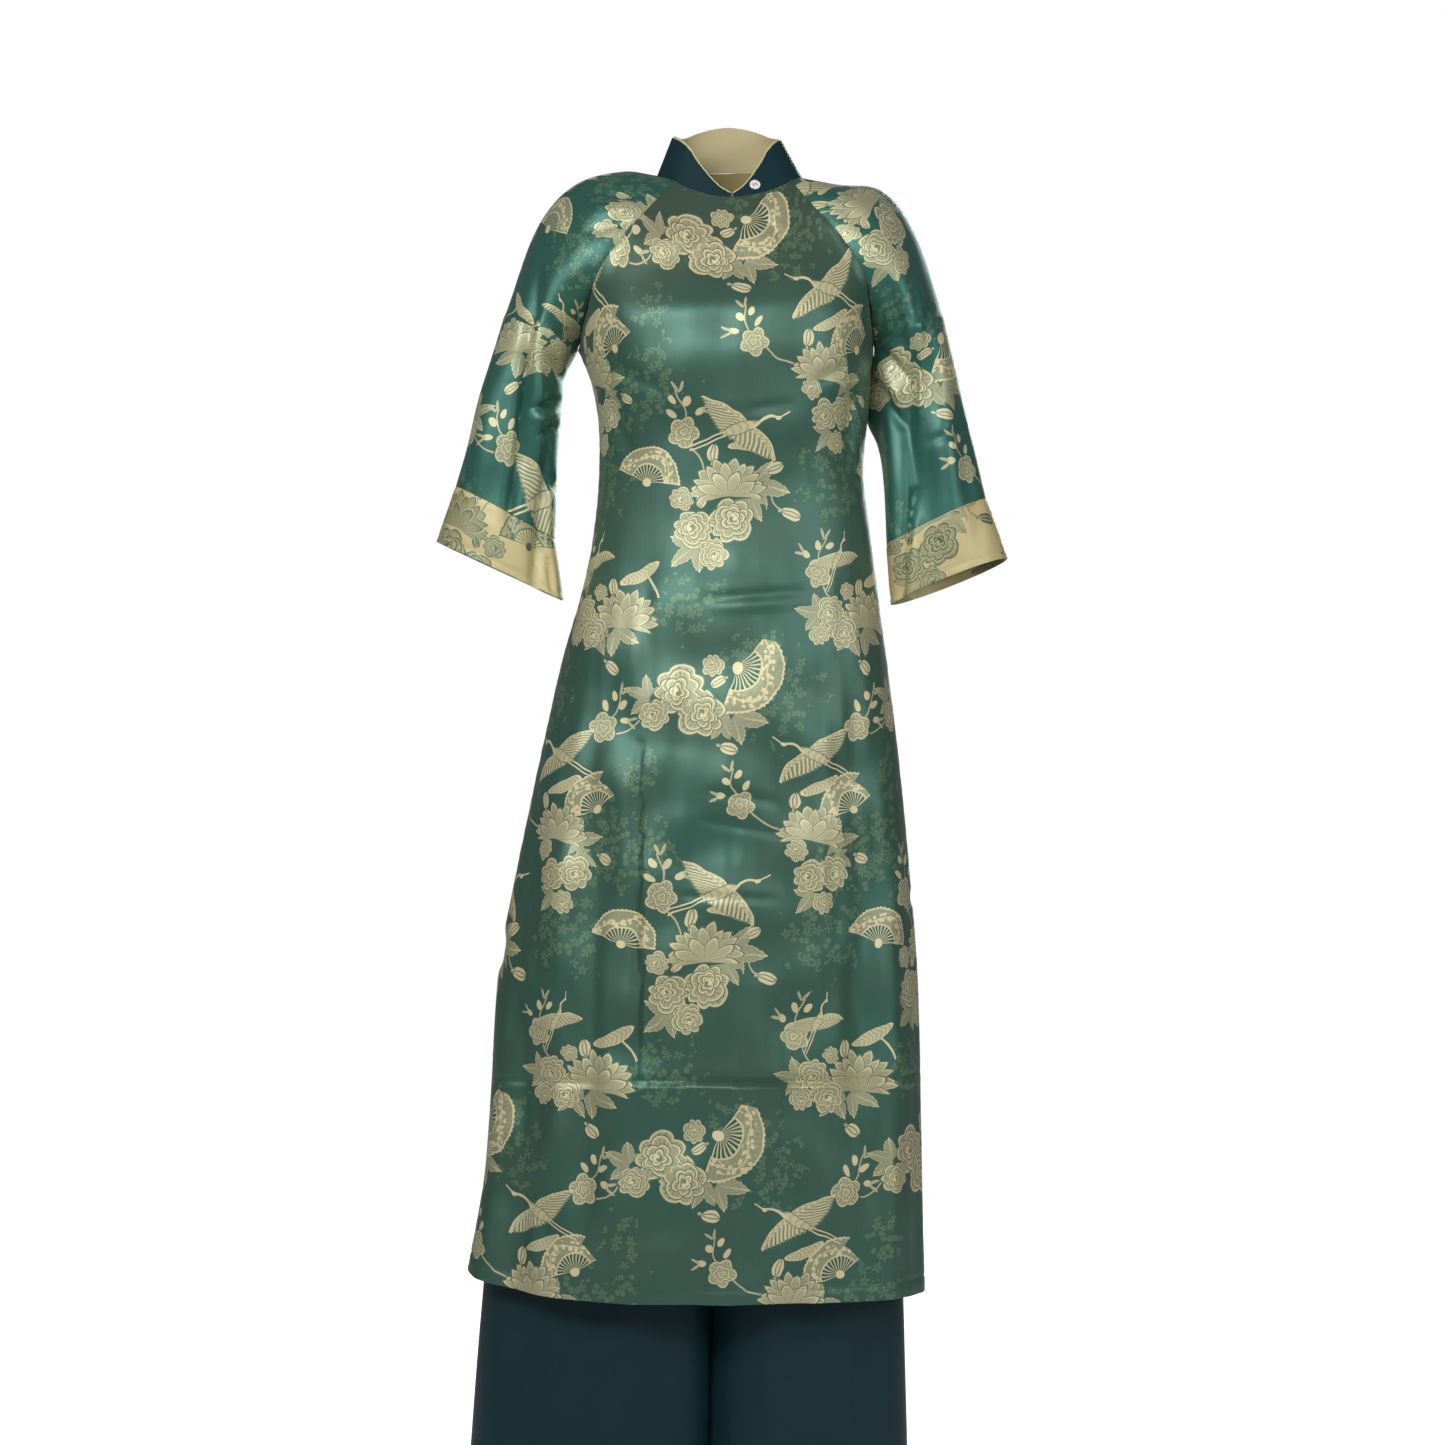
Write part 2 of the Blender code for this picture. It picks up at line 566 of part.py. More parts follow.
def leg_panel(side, front):
    """Outer points of one trouser panel, from its centre seam or inseam out to its side seam."""
    rows = []
    for z in np.linspace(LEGS[0].z, LEGS[-1].z, LEG_ROWS + 1):
        leg = Leg(*curve_through(LEGS, z, [row.z for row in LEGS]))
        inner = math.radians(min(max(leg.inner, -90), 0))
        apart = LEG_APART[0] + (LEG_APART[1] - LEG_APART[0]) * smoothstep(-0.65, LEGS[-1].z, z)
        reach = abs((leg.right if side > 0 else leg.left) - leg.middle) - apart / 2
        half = reach / (1 - math.sin(inner))
        depth = leg.front if front else leg.back
        row = []
        for share in np.linspace(0, 1, LEG_COLUMNS + 1):
            turn = inner + (math.pi / 2 - inner) * share
            swell = folds_at(LEG_FOLDS, share, z) * (1 - (2 * share - 1) ** 6)
            x = apart / 2 + half * (math.sin(turn) - math.sin(inner))
            y = depth * max(math.cos(turn), 0.0) ** FRONT_FLATNESS + math.copysign(swell, depth)
            row.append((leg.middle + side * x, y, z))
        rows.append(row)
    return np.array(rows)


def tunic_ring(front, back, z):
    """A ring of points all round the tunic's outer side at one level between the waist and the hips."""
    at = YOKE_ROWS + BODY_ROWS * (z - BODY[0].z) / (BODY[-1].z - BODY[0].z)
    above, share = int(at), at - int(at)
    rows = [grid[above] * (1 - share) + grid[above + 1] * share for grid in (front, back)]
    sides = [(rows[0][end] + rows[1][end]) / 2 for end in (0, -1)]
    return np.array([sides[0], *rows[0][1:-1], sides[1], *rows[1][-2:0:-1], sides[0]])


def trousers(front, back, turned_out, teal):
    """Four leg panels under a waistband, which lies just inside the tunic's waist."""
    levels = (WAISTBAND_TOP, WAISTBAND_BOTTOM)
    grid = np.array([tunic_ring(front, back, z) for z in levels])
    own = np.array([tunic_ring(turned_out["front"], turned_out["back"], z) for z in levels])
    own[:, :, 2] = 0
    own /= np.linalg.norm(own, axis=2, keepdims=True)
    outer = grid - own * (CLOTH + WAISTBAND_CLEARANCE)
    wall("waistband", outer, outer - own * BAND_CLOTH, teal, joined_from=0)
    for side, word in ((1, "left"), (-1, "right")):
        panels = {True: leg_panel(side, True), False: leg_panel(side, False)}
        turned = {}
        for front, grid in panels.items():
            middle = np.array((side * 0.09, 0.0, -0.85))
            turned[front] = outward(grid, normals_of(grid, False), middle)
        share_normals(turned[True][:, -1], turned[False][:, -1], 1.0)
        share_normals(turned[True][:, 0], turned[False][:, 0],
                      np.array([[1.0 if p[1] > -0.001 else 0.0] for p in panels[True][:, 0]]))
        for front, grid in panels.items():
            every = slice(0, len(grid))
            draw_in(grid, every, 0, 1, SEAM_GAP / 2)
            draw_in(grid, every, -1, -2, SEAM_GAP / 2)
            place = "front" if front else "back"
            wall(f"{word}_leg_{place}", grid, grid - turned[front] * CLOTH, teal)


def main():
    clear_scene()
    green = finish("green brocade satin", GREEN, 0.42)
    gold = finish("brocade wrong side", GOLD, 0.55)
    teal = finish("teal satin", TEAL, 0.5)
    white = finish("white button", WHITE, 0.3)
    front, back, sleeves, turned = tunic(green, gold)
    ring = neck_ring(front, back, sleeves)
    angles = collar(ring, teal, gold)
    button(ring, angles, white)
    trousers(front, back, turned, teal)


main()
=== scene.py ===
"""Looks of an ao dai shaped as on a wearer: a green and gold brocade tunic over teal satin trousers, with
no wearer.

Metres, in the frame of the CAD model. The wearer faces -Y and the viewer's right is +X; left and right
in names are the wearer's own, so the left sleeve is at +X. The origin is the middle of the neck seam.
"""
import math
from collections import namedtuple

import bmesh
import bpy
import numpy as np
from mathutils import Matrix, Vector, noise


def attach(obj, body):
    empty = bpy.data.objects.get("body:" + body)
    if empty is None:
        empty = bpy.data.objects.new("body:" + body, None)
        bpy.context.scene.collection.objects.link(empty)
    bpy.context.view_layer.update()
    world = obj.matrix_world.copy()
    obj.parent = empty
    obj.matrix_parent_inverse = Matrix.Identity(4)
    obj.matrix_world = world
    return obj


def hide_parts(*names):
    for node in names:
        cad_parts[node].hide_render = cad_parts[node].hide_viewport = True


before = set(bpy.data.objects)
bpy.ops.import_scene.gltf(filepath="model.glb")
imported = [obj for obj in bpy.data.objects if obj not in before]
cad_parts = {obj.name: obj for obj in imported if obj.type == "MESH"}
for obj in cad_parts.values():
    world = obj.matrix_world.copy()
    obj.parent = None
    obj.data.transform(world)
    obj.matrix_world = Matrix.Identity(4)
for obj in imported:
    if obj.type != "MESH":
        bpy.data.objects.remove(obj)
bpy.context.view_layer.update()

# ---- The photograph's view ----
# Level and straight on, from far enough away that the garment shows little perspective. The trousers'
# hems lie below the picture's lower edge.
VIEW_DISTANCE = 3.1
VIEW_WIDTH = 1.5129
VIEW_CENTRE = (-0.00995, -0.570)
SENSOR_WIDTH = 36


def placed(name, data):
    """A new object of the scene, made of this mesh, lamp or camera data."""
    made = bpy.data.objects.new(name, data)
    bpy.context.scene.collection.objects.link(made)
    return made


camera = placed("camera", bpy.data.cameras.new("camera"))
camera.data.sensor_width = SENSOR_WIDTH
camera.data.lens = SENSOR_WIDTH * VIEW_DISTANCE / VIEW_WIDTH
camera.location = (VIEW_CENTRE[0], -VIEW_DISTANCE, VIEW_CENTRE[1])
camera.rotation_euler = (math.radians(90), 0, 0)
bpy.context.scene.camera = camera

# ---- Brocade ----
# Figured satin: a green warp face with gold weft figures of peonies, lotuses, cranes and fans, and faint
# sprays woven tone on tone. On the wrong side the colours change places: green figures on gold.


class Shade:
    """A value inside a material. Sums with it add the nodes that work them out."""

    def __init__(self, tree, socket):
        self.tree = tree
        self.socket = socket

    def node(self, kind, settings=(), inputs=(), out=0):
        """Adds one node of any kind and fills its inputs, by name or number, with values or shades."""
        made = self.tree.nodes.new(kind)
        for name, value in dict(settings).items():
            setattr(made, name, value)
        for name, value in dict(inputs).items():
            if isinstance(value, Shade):
                self.tree.links.new(value.socket, made.inputs[name])
            else:
                made.inputs[name].default_value = value
        return None if out is None else Shade(self.tree, made.outputs[out])

    def maths(self, operation, *values):
        return self.node("ShaderNodeMath", {"operation": operation}, enumerate(values))

    def __add__(self, other):
        return self.maths("ADD", self, other)

    def __radd__(self, other):
        return self.maths("ADD", other, self)

    def __sub__(self, other):
        return self.maths("SUBTRACT", self, other)

    def __rsub__(self, other):
        return self.maths("SUBTRACT", other, self)

    def __mul__(self, other):
        return self.maths("MULTIPLY", self, other)

    def __rmul__(self, other):
        return self.maths("MULTIPLY", other, self)

    def __truediv__(self, other):
        return self.maths("DIVIDE", self, other)

    def __rtruediv__(self, other):
        return self.maths("DIVIDE", other, self)

    def __pow__(self, other):
        return self.maths("POWER", self, other)

    def __rpow__(self, other):
        return self.maths("POWER", other, self)

    def __neg__(self):
        return self.maths("MULTIPLY", self, -1.0)

    def __abs__(self):
        return self.maths("ABSOLUTE", self)

    def __lt__(self, other):
        return self.maths("LESS_THAN", self, other)

    def __gt__(self, other):
        return self.maths("GREATER_THAN", self, other)

    def low(self, other):
        return self.maths("MINIMUM", self, other)

    def high(self, other):
        return self.maths("MAXIMUM", self, other)

    def sine(self):
        return self.maths("SINE", self)

    def angle(self, along):
        return self.maths("ARCTAN2", self, along)

    def fold(self, width):
        """Runs up and down between 0 and a width, like a folded rule."""
        return self.maths("PINGPONG", self, width)

    def ramp(self, low, high):
        """From 0 at one value to 1 at the other, eased at both ends."""
        limits = {"Value": self, "From Min": low, "From Max": high}
        return self.node("ShaderNodeMapRange", {"interpolation_type": "SMOOTHSTEP"}, limits)

    def vector(self, operation, *others, out=0):
        values = enumerate((self, *others))
        return self.node("ShaderNodeVectorMath", {"operation": operation}, values, out)

    def length(self):
        return self.vector("LENGTH", out="Value")

    def beside(self):
        """Every output of the node that gave this value, by name."""
        return {out.name: Shade(self.tree, out) for out in self.socket.node.outputs}

    def parts(self):
        return self.node("ShaderNodeSeparateXYZ", inputs={0: self}).beside().values()

    def mix(self, other, where):
        """This value where the share is 0, the other where it is 1."""
        return self.node("ShaderNodeMix", inputs={0: where, 2: self, 3: other})

    def mix_vector(self, other, where):
        return self.node("ShaderNodeMix", {"data_type": "VECTOR"}, {0: where, 4: self, 5: other}, out=1)

    def between(self, one, two):
        """The first colour where this is 0, the second where it is 1."""
        return self.node("ShaderNodeMix", {"data_type": "RGBA"}, {0: self, 6: one, 7: two}, out=2)

    def cover(self):
        """Lays this shader on the material's surface."""
        self.node("ShaderNodeOutputMaterial", inputs={0: self}, out=None)


def new_finish(name):
    """A new material without nodes, and the empty value that its first node starts from."""
    made = bpy.data.materials.new(name)
    made.use_nodes = True
    made.node_tree.nodes.clear()
    return made, Shade(made.node_tree, None)


def table(kind, rows):
    """Rows of numbers as tuples with named fields."""
    return [kind(*row) for row in rows]


# One repeat of the brocade, in marks of MARK metres, y down the cloth. Each motif's size is its reach
# from its middle, and turn is where it points, clockwise from the right. Flip is -1 for a mirrored one.
MARK = 0.00101
REPEAT = (267.0, 467.0)
DRIFT = 5.0
SPRAY_BLOSSOMS = 0.088
SPRAY_STRENGTH = 0.8
# Threads to the metre across and down the cloth, and the noise's detail
FLOATS = (2400.0, 700.0, 0.0)
SLUBS = (260.0, 14.0, 0.0)
THREAD_HEIGHT = 0.0004
# Painted shading near the neck: how far down the cloth the muted tone reaches, and how sharply it fades
YOKE_SHADING_DEPTH = 0.085
YOKE_SHADING_FADE = 14.0
Motif = namedtuple("Motif", "x y size turn flip")
PEONIES = table(Motif, (
    (-43, 0, 26, 200, 1), (-22, 23, 25, 60, 1), (-69, 25, 16, 150, -1), (-11, -25, 12, 280, 1),
    (98, 187, 17, 190, 1), (122, 184, 18, 20, -1), (113, 214, 12, 90, 1), (83, 161, 11, 240, 1),
    (-39, 304, 20, 170, -1), (-1, 296, 23, 330, 1), (-19, 329, 16, 80, 1), (-51, 273, 12, 210, 1),
    (-160, 386, 16, 150, 1), (-145, 407, 17, 40, -1), (-171, 410, 12, 100, 1), (-141, 366, 9, 250, 1),
))
LEAVES = table(Motif, (
    (-80, 6, 26, 200, 1), (2, 34, 24, 50, -1), (20, 28, 32, 12, 1), (124, 152, 30, 350, 1),
    (128, 168, 22, 30, -1), (100, 208, 24, 130, 1), (30, 262, 34, 8, 1), (20, 278, 24, 62, -1),
    (-42, 326, 30, 140, 1), (-178, 388, 24, 190, 1), (-136, 412, 26, 60, 1), (-112, 408, 30, 25, -1),
))
LOTUSES = table(Motif, ((98, 139, 35, 6, 1), (-5, 258, 38, -5, 1), (-109, 389, 39, 4, 1)))
FANS = table(Motif, ((14, -22, 47, 28, 1), (143, 120, 38, 244, -1), (-89, 256, 37, 284, 1)))
CRANES = table(Motif, ((7, 203, 60, 340, 1), (97, 66, 54, 204, -1), (-156, 334, 36, 290, 1)))
ROLLED_LEAVES = table(Motif, ((105, 97, 20, 335, 1), (13, 221, 16, 5, -1), (-94, 350, 23, 335, 1)))
SPRIGS = table(Motif, (
    (-123, 37, 15, 300, 1), (24, 116, 14, 250, -1), (-50, 207, 16, 265, 1), (-177, 348, 14, 280, -1),
))
BUDS = table(Motif, (
    (9, 59, 10, 20, 1), (-5, -8, 8, 150, 1), (80, 112, 9, 280, 1), (155, 170, 8, 30, 1),
    (-19, 228, 10, 275, 1), (-31, 276, 8, 120, 1), (60, 289, 10, 15, 1), (-125, 361, 9, 265, 1),
    (-116, 444, 9, 40, 1), (44, 243, 9, 330, 1),
))
Stem = namedtuple("Stem", "x0 y0 x1 y1 bow")
STEMS = table(Stem, (
    (-108, 44, -84, 30, 3), (36, 122, 74, 138, 5), (-46, 220, -28, 250, -4), (-170, 360, -150, 378, 4),
    (40, 272, 54, 286, 3),
))
Oval = namedtuple("Oval", "x y wide high")
# Together these hold all the gold motifs.
ZONES = table(Oval, (
    (-38, 6, 74, 56), (34, -6, 44, 46), (-118, 20, 36, 44), (24, 34, 42, 40), (98, 66, 56, 50),
    (106, 128, 66, 46), (106, 190, 48, 46), (22, 98, 34, 48), (60, 136, 34, 16), (150, 170, 24, 18),
    (8, 202, 62, 52), (-88, 240, 48, 40), (-52, 190, 36, 44), (0, 258, 66, 44), (-28, 304, 50, 52),
    (52, 284, 26, 22), (-158, 336, 46, 44), (-176, 322, 38, 50), (-106, 378, 58, 54), (-160, 396, 52, 42),
    (-118, 420, 44, 40),
))
SPRAYS = table(Oval, (
    (-92, -310, 60, 52), (58, 2, 52, 60), (-112, 168, 62, 50), (-42, -84, 56, 40), (116, 246, 52, 56),
    (-80, 84, 26, 34), (30, 430, 40, 30),
))


def from_copy(place, x, y, wide, high):
    """How far a place lies from the nearest copy of a point in the repeat, in widths and heights."""
    half = (REPEAT[0] / 2 / wide, REPEAT[1] / 2 / high, 1.0)
    here = place.vector("MULTIPLY_ADD", (1 / wide, 1 / high, 0), (-x / wide, -y / high, 0))
    return here.vector("WRAP", half, tuple(-h for h in half))


def nearest(place, motifs):
    """The nearest copy of a motif: its distance, and its own coordinates along and across it."""
    own = away = pose = None
    for motif in motifs:
        here = from_copy(place, motif.x, motif.y, motif.size, motif.size)
        far = here.length()
        turn = math.radians(motif.turn)
        facing = (math.cos(turn), math.sin(turn), float(motif.flip))
        if own is None:
            own, away = here, far
            pose = place.node("ShaderNodeCombineXYZ", inputs=enumerate(facing))
        else:
            nearer = far < away
            own = own.mix_vector(here, nearer)
            pose = pose.mix_vector(facing, nearer)
            away = away.low(far)
    x, y, _ = own.parts()
    cosine, sine, flip = pose.parts()
    return away, x * cosine + y * sine, (y * cosine - x * sine) * flip


def nearest_oval(place, ovals):
    """How far out a place lies in the nearest oval: 0 at its middle, 1 on its edge."""
    away = None
    for oval in ovals:
        far = from_copy(place, *oval).length()
        away = far if away is None else away.low(far)
    return away


def petal_ring(gold, far, turn, hatch, count, reach, scallop, phase, dark=0.12):
    """One ring of petals: rounded bright edges over a hatched ground, with a dark line round them."""
    edge = abs((turn * (count / 2) + phase).sine()) * scallop + reach
    inside = edge - far
    petal = 0.98 - inside.ramp(0.02, 0.11) * 0.42 - hatch * inside.ramp(0.06, 0.14)
    gold = gold.mix(dark, inside > -0.05)
    return gold.mix(petal, inside > 0.0)


def paint_peonies(gold, place):
    """Full-blown peonies: four rings of petals, the inner two off the middle, round a swirl."""
    far, along, across = nearest(place, PEONIES)
    turn = across.angle(along)
    turn = turn + (turn * 2 + 0.7).sine() * 0.22
    hatch = ((turn * 34).sine() > 0.35) * 0.24
    gold = petal_ring(gold, far, turn, hatch, 7, 0.80, 0.20, 0.3)
    gold = petal_ring(gold, far, turn, hatch, 6, 0.58, 0.19, 1.2)
    x, y = along - 0.10, across + 0.08
    far = (x * x + y * y) ** 0.5
    turn = y.angle(x)
    gold = petal_ring(gold, far, turn, hatch, 5, 0.36, 0.17, 0.4)
    gold = petal_ring(gold, far, turn, hatch, 4, 0.19, 0.13, 1.9)
    swirl = (far * 14 + turn).sine()
    return gold.mix((swirl > -0.1) * 0.75 + 0.2, far < 0.17)


def paint_leaves(gold, place):
    """Leaves of three pointed lobes, dimmer than the flowers, with a bright rib down each lobe."""
    far, along, across = nearest(place, LEAVES)
    turn = abs(across.angle(along + 0.25))
    far = ((along + 0.25) ** 2 + across * across) ** 0.5
    lobe = turn.fold(0.52)
    edge = (1.12 - turn * 0.20) * (1 - lobe * 1.02)
    edge = edge + (far * 46 + turn * 9).sine() * 0.018
    inside = edge - far
    rib = (lobe < 0.035) * 0.30
    veins = ((far * 24 - lobe * 34).sine() > 0.75) * 0.13
    leaf = 0.36 + rib + veins + (inside < 0.05) * 0.26
    return gold.mix(leaf, (inside > 0.0) * (turn < 1.9))


def paint_lotus(gold, place):
    """A lotus from the side: three fans of broad pointed petals over its cup."""
    _, along, across = nearest(place, LOTUSES)
    for sink, count, reach, width, shift, fill in (
        (0.18, 6, 0.86, 1.10, 0.5, 0.50),
        (0.26, 7, 0.80, 1.28, 0.0, 0.56),
        (0.34, 5, 0.62, 1.42, 0.5, 0.62),
    ):
        x, y = along / width, across - sink
        far, turn = (x * x + y * y) ** 0.5, x.angle(-y)
        half = math.pi * 1.12 / count / 2
        petal = (turn + (20 + shift) * 2 * half).fold(half)
        edge = reach - petal * (reach * 0.20 / half) - petal * petal * (reach * 0.26 / half**2)
        inside = edge - far
        lines = ((petal * (20 / half)).sine() > 0.3) * 0.16
        shade = 0.97 - inside.ramp(0.01, 0.08) * (0.97 - fill) - lines * (far < reach * 0.75)
        shade = shade.mix(0.15, petal > half * 0.93)
        where = abs(turn) < 1.76
        gold = gold.mix(0.12, (inside > -0.04) * where)
        gold = gold.mix(shade, (inside > 0.0) * where)
    return gold


def paint_fans(gold, place):
    """Open folding fans: thin sticks from the pivot, then a pale leaf with a garland painted on it."""
    far, along, across = nearest(place, FANS)
    turn = across.angle(along)
    wide = abs(turn)
    open_here = wide < 1.43
    pleat = (turn + 20.0).fold(0.06)
    rim = 0.975 + pleat * 0.5
    leaf = 0.36 + (pleat < 0.012) * 0.10
    garland = abs(far - 0.72 - (turn * 3.4).sine() * 0.09)
    blossom = place.node("ShaderNodeTexVoronoi", {"voronoi_dimensions": "2D"},
                         {"Vector": place, "Scale": 0.17}, out="Distance")
    leaf = leaf.mix(0.92, (blossom < 0.36) * (garland < 0.14))
    leaf = leaf.high((garland < 0.018) * 0.85)
    leaf = leaf.high((far > 0.94) * 0.9)
    leaf = leaf.high((far < 0.525) * 0.85)
    leaf = leaf.high((wide > 1.38) * 0.85)
    gold = gold.mix(leaf, open_here * (far > 0.48) * (far < rim))
    sticks = (turn + 20.0).fold(0.115) < 0.040
    gold = gold.mix(0.85, sticks * (far < 0.49) * (wide < 1.42))
    return gold.mix(0.95, far < 0.115)


def paint_cranes(gold, place):
    """A crane in flight seen from above: body, long neck and legs, and two feathered wings."""
    _, along, across = nearest(place, CRANES)
    swept = along - across * 0.55
    reach = abs(across)
    square = reach * reach
    lead = reach * 0.28 - square * 0.78 + 0.20
    feather = (reach + swept * 0.9 + 4.0).fold(0.040)
    trail = square * 0.34 + reach * 0.10 - feather * 1.6 - 0.25
    wing = (lead > swept) * (swept > trail) * (reach < 0.84)
    shoulder = lead - swept
    plume = 0.50 + (feather < 0.012) * 0.45 - (feather > 0.031) * (reach * 0.6 + 0.15)
    coverts = ((swept * 62).sine() * (reach * 62).sine() > 0.1) * 0.30 + 0.55
    plume = plume.mix(coverts, shoulder < 0.13 - reach * 0.08)
    plume = plume.mix(0.92, shoulder < 0.022)
    gold = gold.mix(plume, wing)
    torso = ((along - 0.02) / 0.30) ** 2 + (across / 0.085) ** 2
    gold = gold.mix(0.12, torso < 1.35)
    gold = gold.mix(0.80 - ((along * 50 + abs(across) * 30).sine() > 0.4) * 0.22, torso < 1.0)
    bend = across + ((along - 0.30) * 8.6).sine() * 0.052 - 0.02
    gold = gold.mix(0.9, (abs(bend) < 0.030 - along * 0.012) * (along > 0.22) * (along < 0.66))
    head = ((along - 0.67) / 0.055) ** 2 + ((across - 0.035) / 0.036) ** 2
    gold = gold.mix(0.95, head < 1.0)
    beak = abs(across - 0.030 + (along - 0.70) * 0.10)
    gold = gold.mix(0.9, (beak < 0.013) * (along > 0.70) * (along < 0.90))
    legs = abs(abs(across + along * 0.03) - 0.035) < 0.013
    return gold.mix(0.88, legs * (along < -0.24) * (along > -0.92))


def paint_rolled_leaves(gold, place):
    """A rolled lotus leaf seen edge on, on a bent stem."""
    _, along, across = nearest(place, ROLLED_LEAVES)
    bent = across + along * along * 0.10
    inside = 1 - (along / 1.05) ** 2 - (bent / 0.27) ** 2
    hatch = ((along * 30 + abs(bent) * 26).sine() > 0.1) * 0.25
    leaf = 0.78 - hatch + (inside < 0.22) * 0.2
    stem = abs(along - 0.22 - (across * 1.6).sine() * 0.30)
    gold = gold.mix(0.85, (stem < 0.05) * (across > 0.1) * (across < 1.35))
    return gold.mix(leaf, inside > 0.0)


def paint_sprigs(gold, place):
    """A small open flower on a twig, with two buds and a few pointed leaves beyond it."""
    far, along, across = nearest(place, SPRIGS)
    twig = abs(across - ((along - 0.6) * 2.0).sine() * 0.22)
    gold = gold.mix(0.62, (twig < 0.055) * (along > 0.5) * (along < 2.7))
    for x, y, long, thin, turn, bright in (
        (2.0, 0.42, 0.36, 0.24, 0.5, 0.85), (2.15, -0.48, 0.34, 0.22, -0.7, 0.9),
        (2.9, 0.2, 0.42, 0.10, 0.5, 0.6), (2.95, -0.2, 0.40, 0.10, -0.4, 0.6),
        (1.2, 1.15, 0.34, 0.22, 1.1, 0.85), (1.1, 1.7, 0.40, 0.10, 1.7, 0.6),
        (1.5, 1.55, 0.40, 0.10, 0.8, 0.6), (1.25, -0.72, 0.40, 0.20, -0.9, 0.85),
    ):
        cosine, sine = math.cos(turn), math.sin(turn)
        one, two = along - x, across - y
        lengthwise = one * (cosine / long) + two * (sine / long)
        sideways = two * (cosine / thin) - one * (sine / thin)
        gold = gold.mix(bright, (lengthwise**2 + sideways**2) < 1.0)
    turn = across.angle(along)
    hatch = ((turn * 20).sine() > 0.35) * 0.24
    gold = petal_ring(gold, far, turn, hatch, 5, 0.78, 0.26, 0.3)
    gold = petal_ring(gold, far, turn, hatch, 5, 0.46, 0.18, 1.4)
    return petal_ring(gold, far, turn, hatch, 3, 0.18, 0.12, 0.4)


def paint_buds(gold, place):
    """Closed buds, each with a split down its middle and a tuft of sepals."""
    _, along, across = nearest(place, BUDS)
    side = abs(across)
    sepals = (side - (along + 1.55) * 0.55) < 0.0
    tuft = (along < -0.35) * (along > -1.35) * ((side * 9 + along * 4).sine() > -0.1)
    gold = gold.mix(0.6, sepals * tuft)
    inside = 1 - (along / 0.95) ** 2 - (across / 0.62) ** 2
    bud = 0.9 - (abs(side - 0.22 + along * along * 0.2) < 0.07) * 0.65
    return gold.mix(bud, inside > 0.0)


def paint_stems(gold, place):
    """Short bowed stems between a motif and the flower or bud that grows from it."""
    for stem in STEMS:
        dx, dy = stem.x1 - stem.x0, stem.y1 - stem.y0
        long = math.hypot(dx, dy)
        x, y, _ = from_copy(place, (stem.x0 + stem.x1) / 2, (stem.y0 + stem.y1) / 2, 1, 1).parts()
        along = x * (dx / long) + y * (dy / long)
        across = y * (dx / long) - x * (dy / long) + (along * along) * (stem.bow * 4 / long**2)
        gold = gold.mix(0.6, (abs(across - stem.bow) < 0.9) * (abs(along) < long / 2))
    return gold


def paint_sprays(place):
    """Faint sprays of tiny blossoms and leaves, woven tone on tone between the gold motifs."""
    ragged = place.node("ShaderNodeTexNoise", {"noise_dimensions": "2D"},
                        {"Vector": place, "Scale": 0.05})
    within = (nearest_oval(place, SPRAYS) + (ragged - 0.5) * 1.5) < 0.72
    scattered = place.node("ShaderNodeTexVoronoi", {"voronoi_dimensions": "2D"},
                           {"Vector": place, "Scale": SPRAY_BLOSSOMS}).beside()
    x, y, _ = place.vector("SUBTRACT", scattered["Position"]).parts()
    kind, lean, _ = scattered["Color"].parts()
    far, turn = (x * x + y * y) ** 0.5, y.angle(x)
    petals = (1.0 + (kind > 0.45) * 1.5) * turn + lean * 6.0
    edge = abs(petals.sine()) * 4.6 + 1.0
    return ((far < edge) - (far < 0.9)) * within


def figure(place):
    """How much gold shows at each place of the brocade's face, where the faint sprays are, and where
    any gold can be."""
    drift = place.node("ShaderNodeTexNoise", {"noise_dimensions": "2D"},
                       {"Vector": place, "Scale": 0.045, "Detail": 1.0}, out="Color")
    place = drift.vector("MULTIPLY_ADD", (DRIFT, DRIFT, 0), place)
    place = place.vector("SUBTRACT", (DRIFT / 2, DRIFT / 2, 0))
    sprays = paint_sprays(place)
    gold = sprays * 0.0
    for paint in (paint_leaves, paint_stems, paint_rolled_leaves, paint_sprigs, paint_buds, paint_fans,
                  paint_lotus, paint_peonies, paint_cranes):
        gold = paint(gold, place)
    return gold, sprays, nearest_oval(place, ZONES) < 1.0


def weave_bump(flat, strength, *grains):
    """The cloth's threads: the fine noise of the first grain, and the bump that all of them make."""
    fine = []
    for across, down, detail in grains:
        threads = flat.vector("MULTIPLY", (across, down, 0))
        fine.append(flat.node("ShaderNodeTexNoise", {"noise_dimensions": "2D"},
                              {"Vector": threads, "Scale": 1.0, "Detail": detail}))
    return fine[0], flat.node("ShaderNodeBump", inputs={
        "Strength": strength, "Distance": THREAD_HEIGHT, "Height": sum(fine[1:], fine[0]),
    })


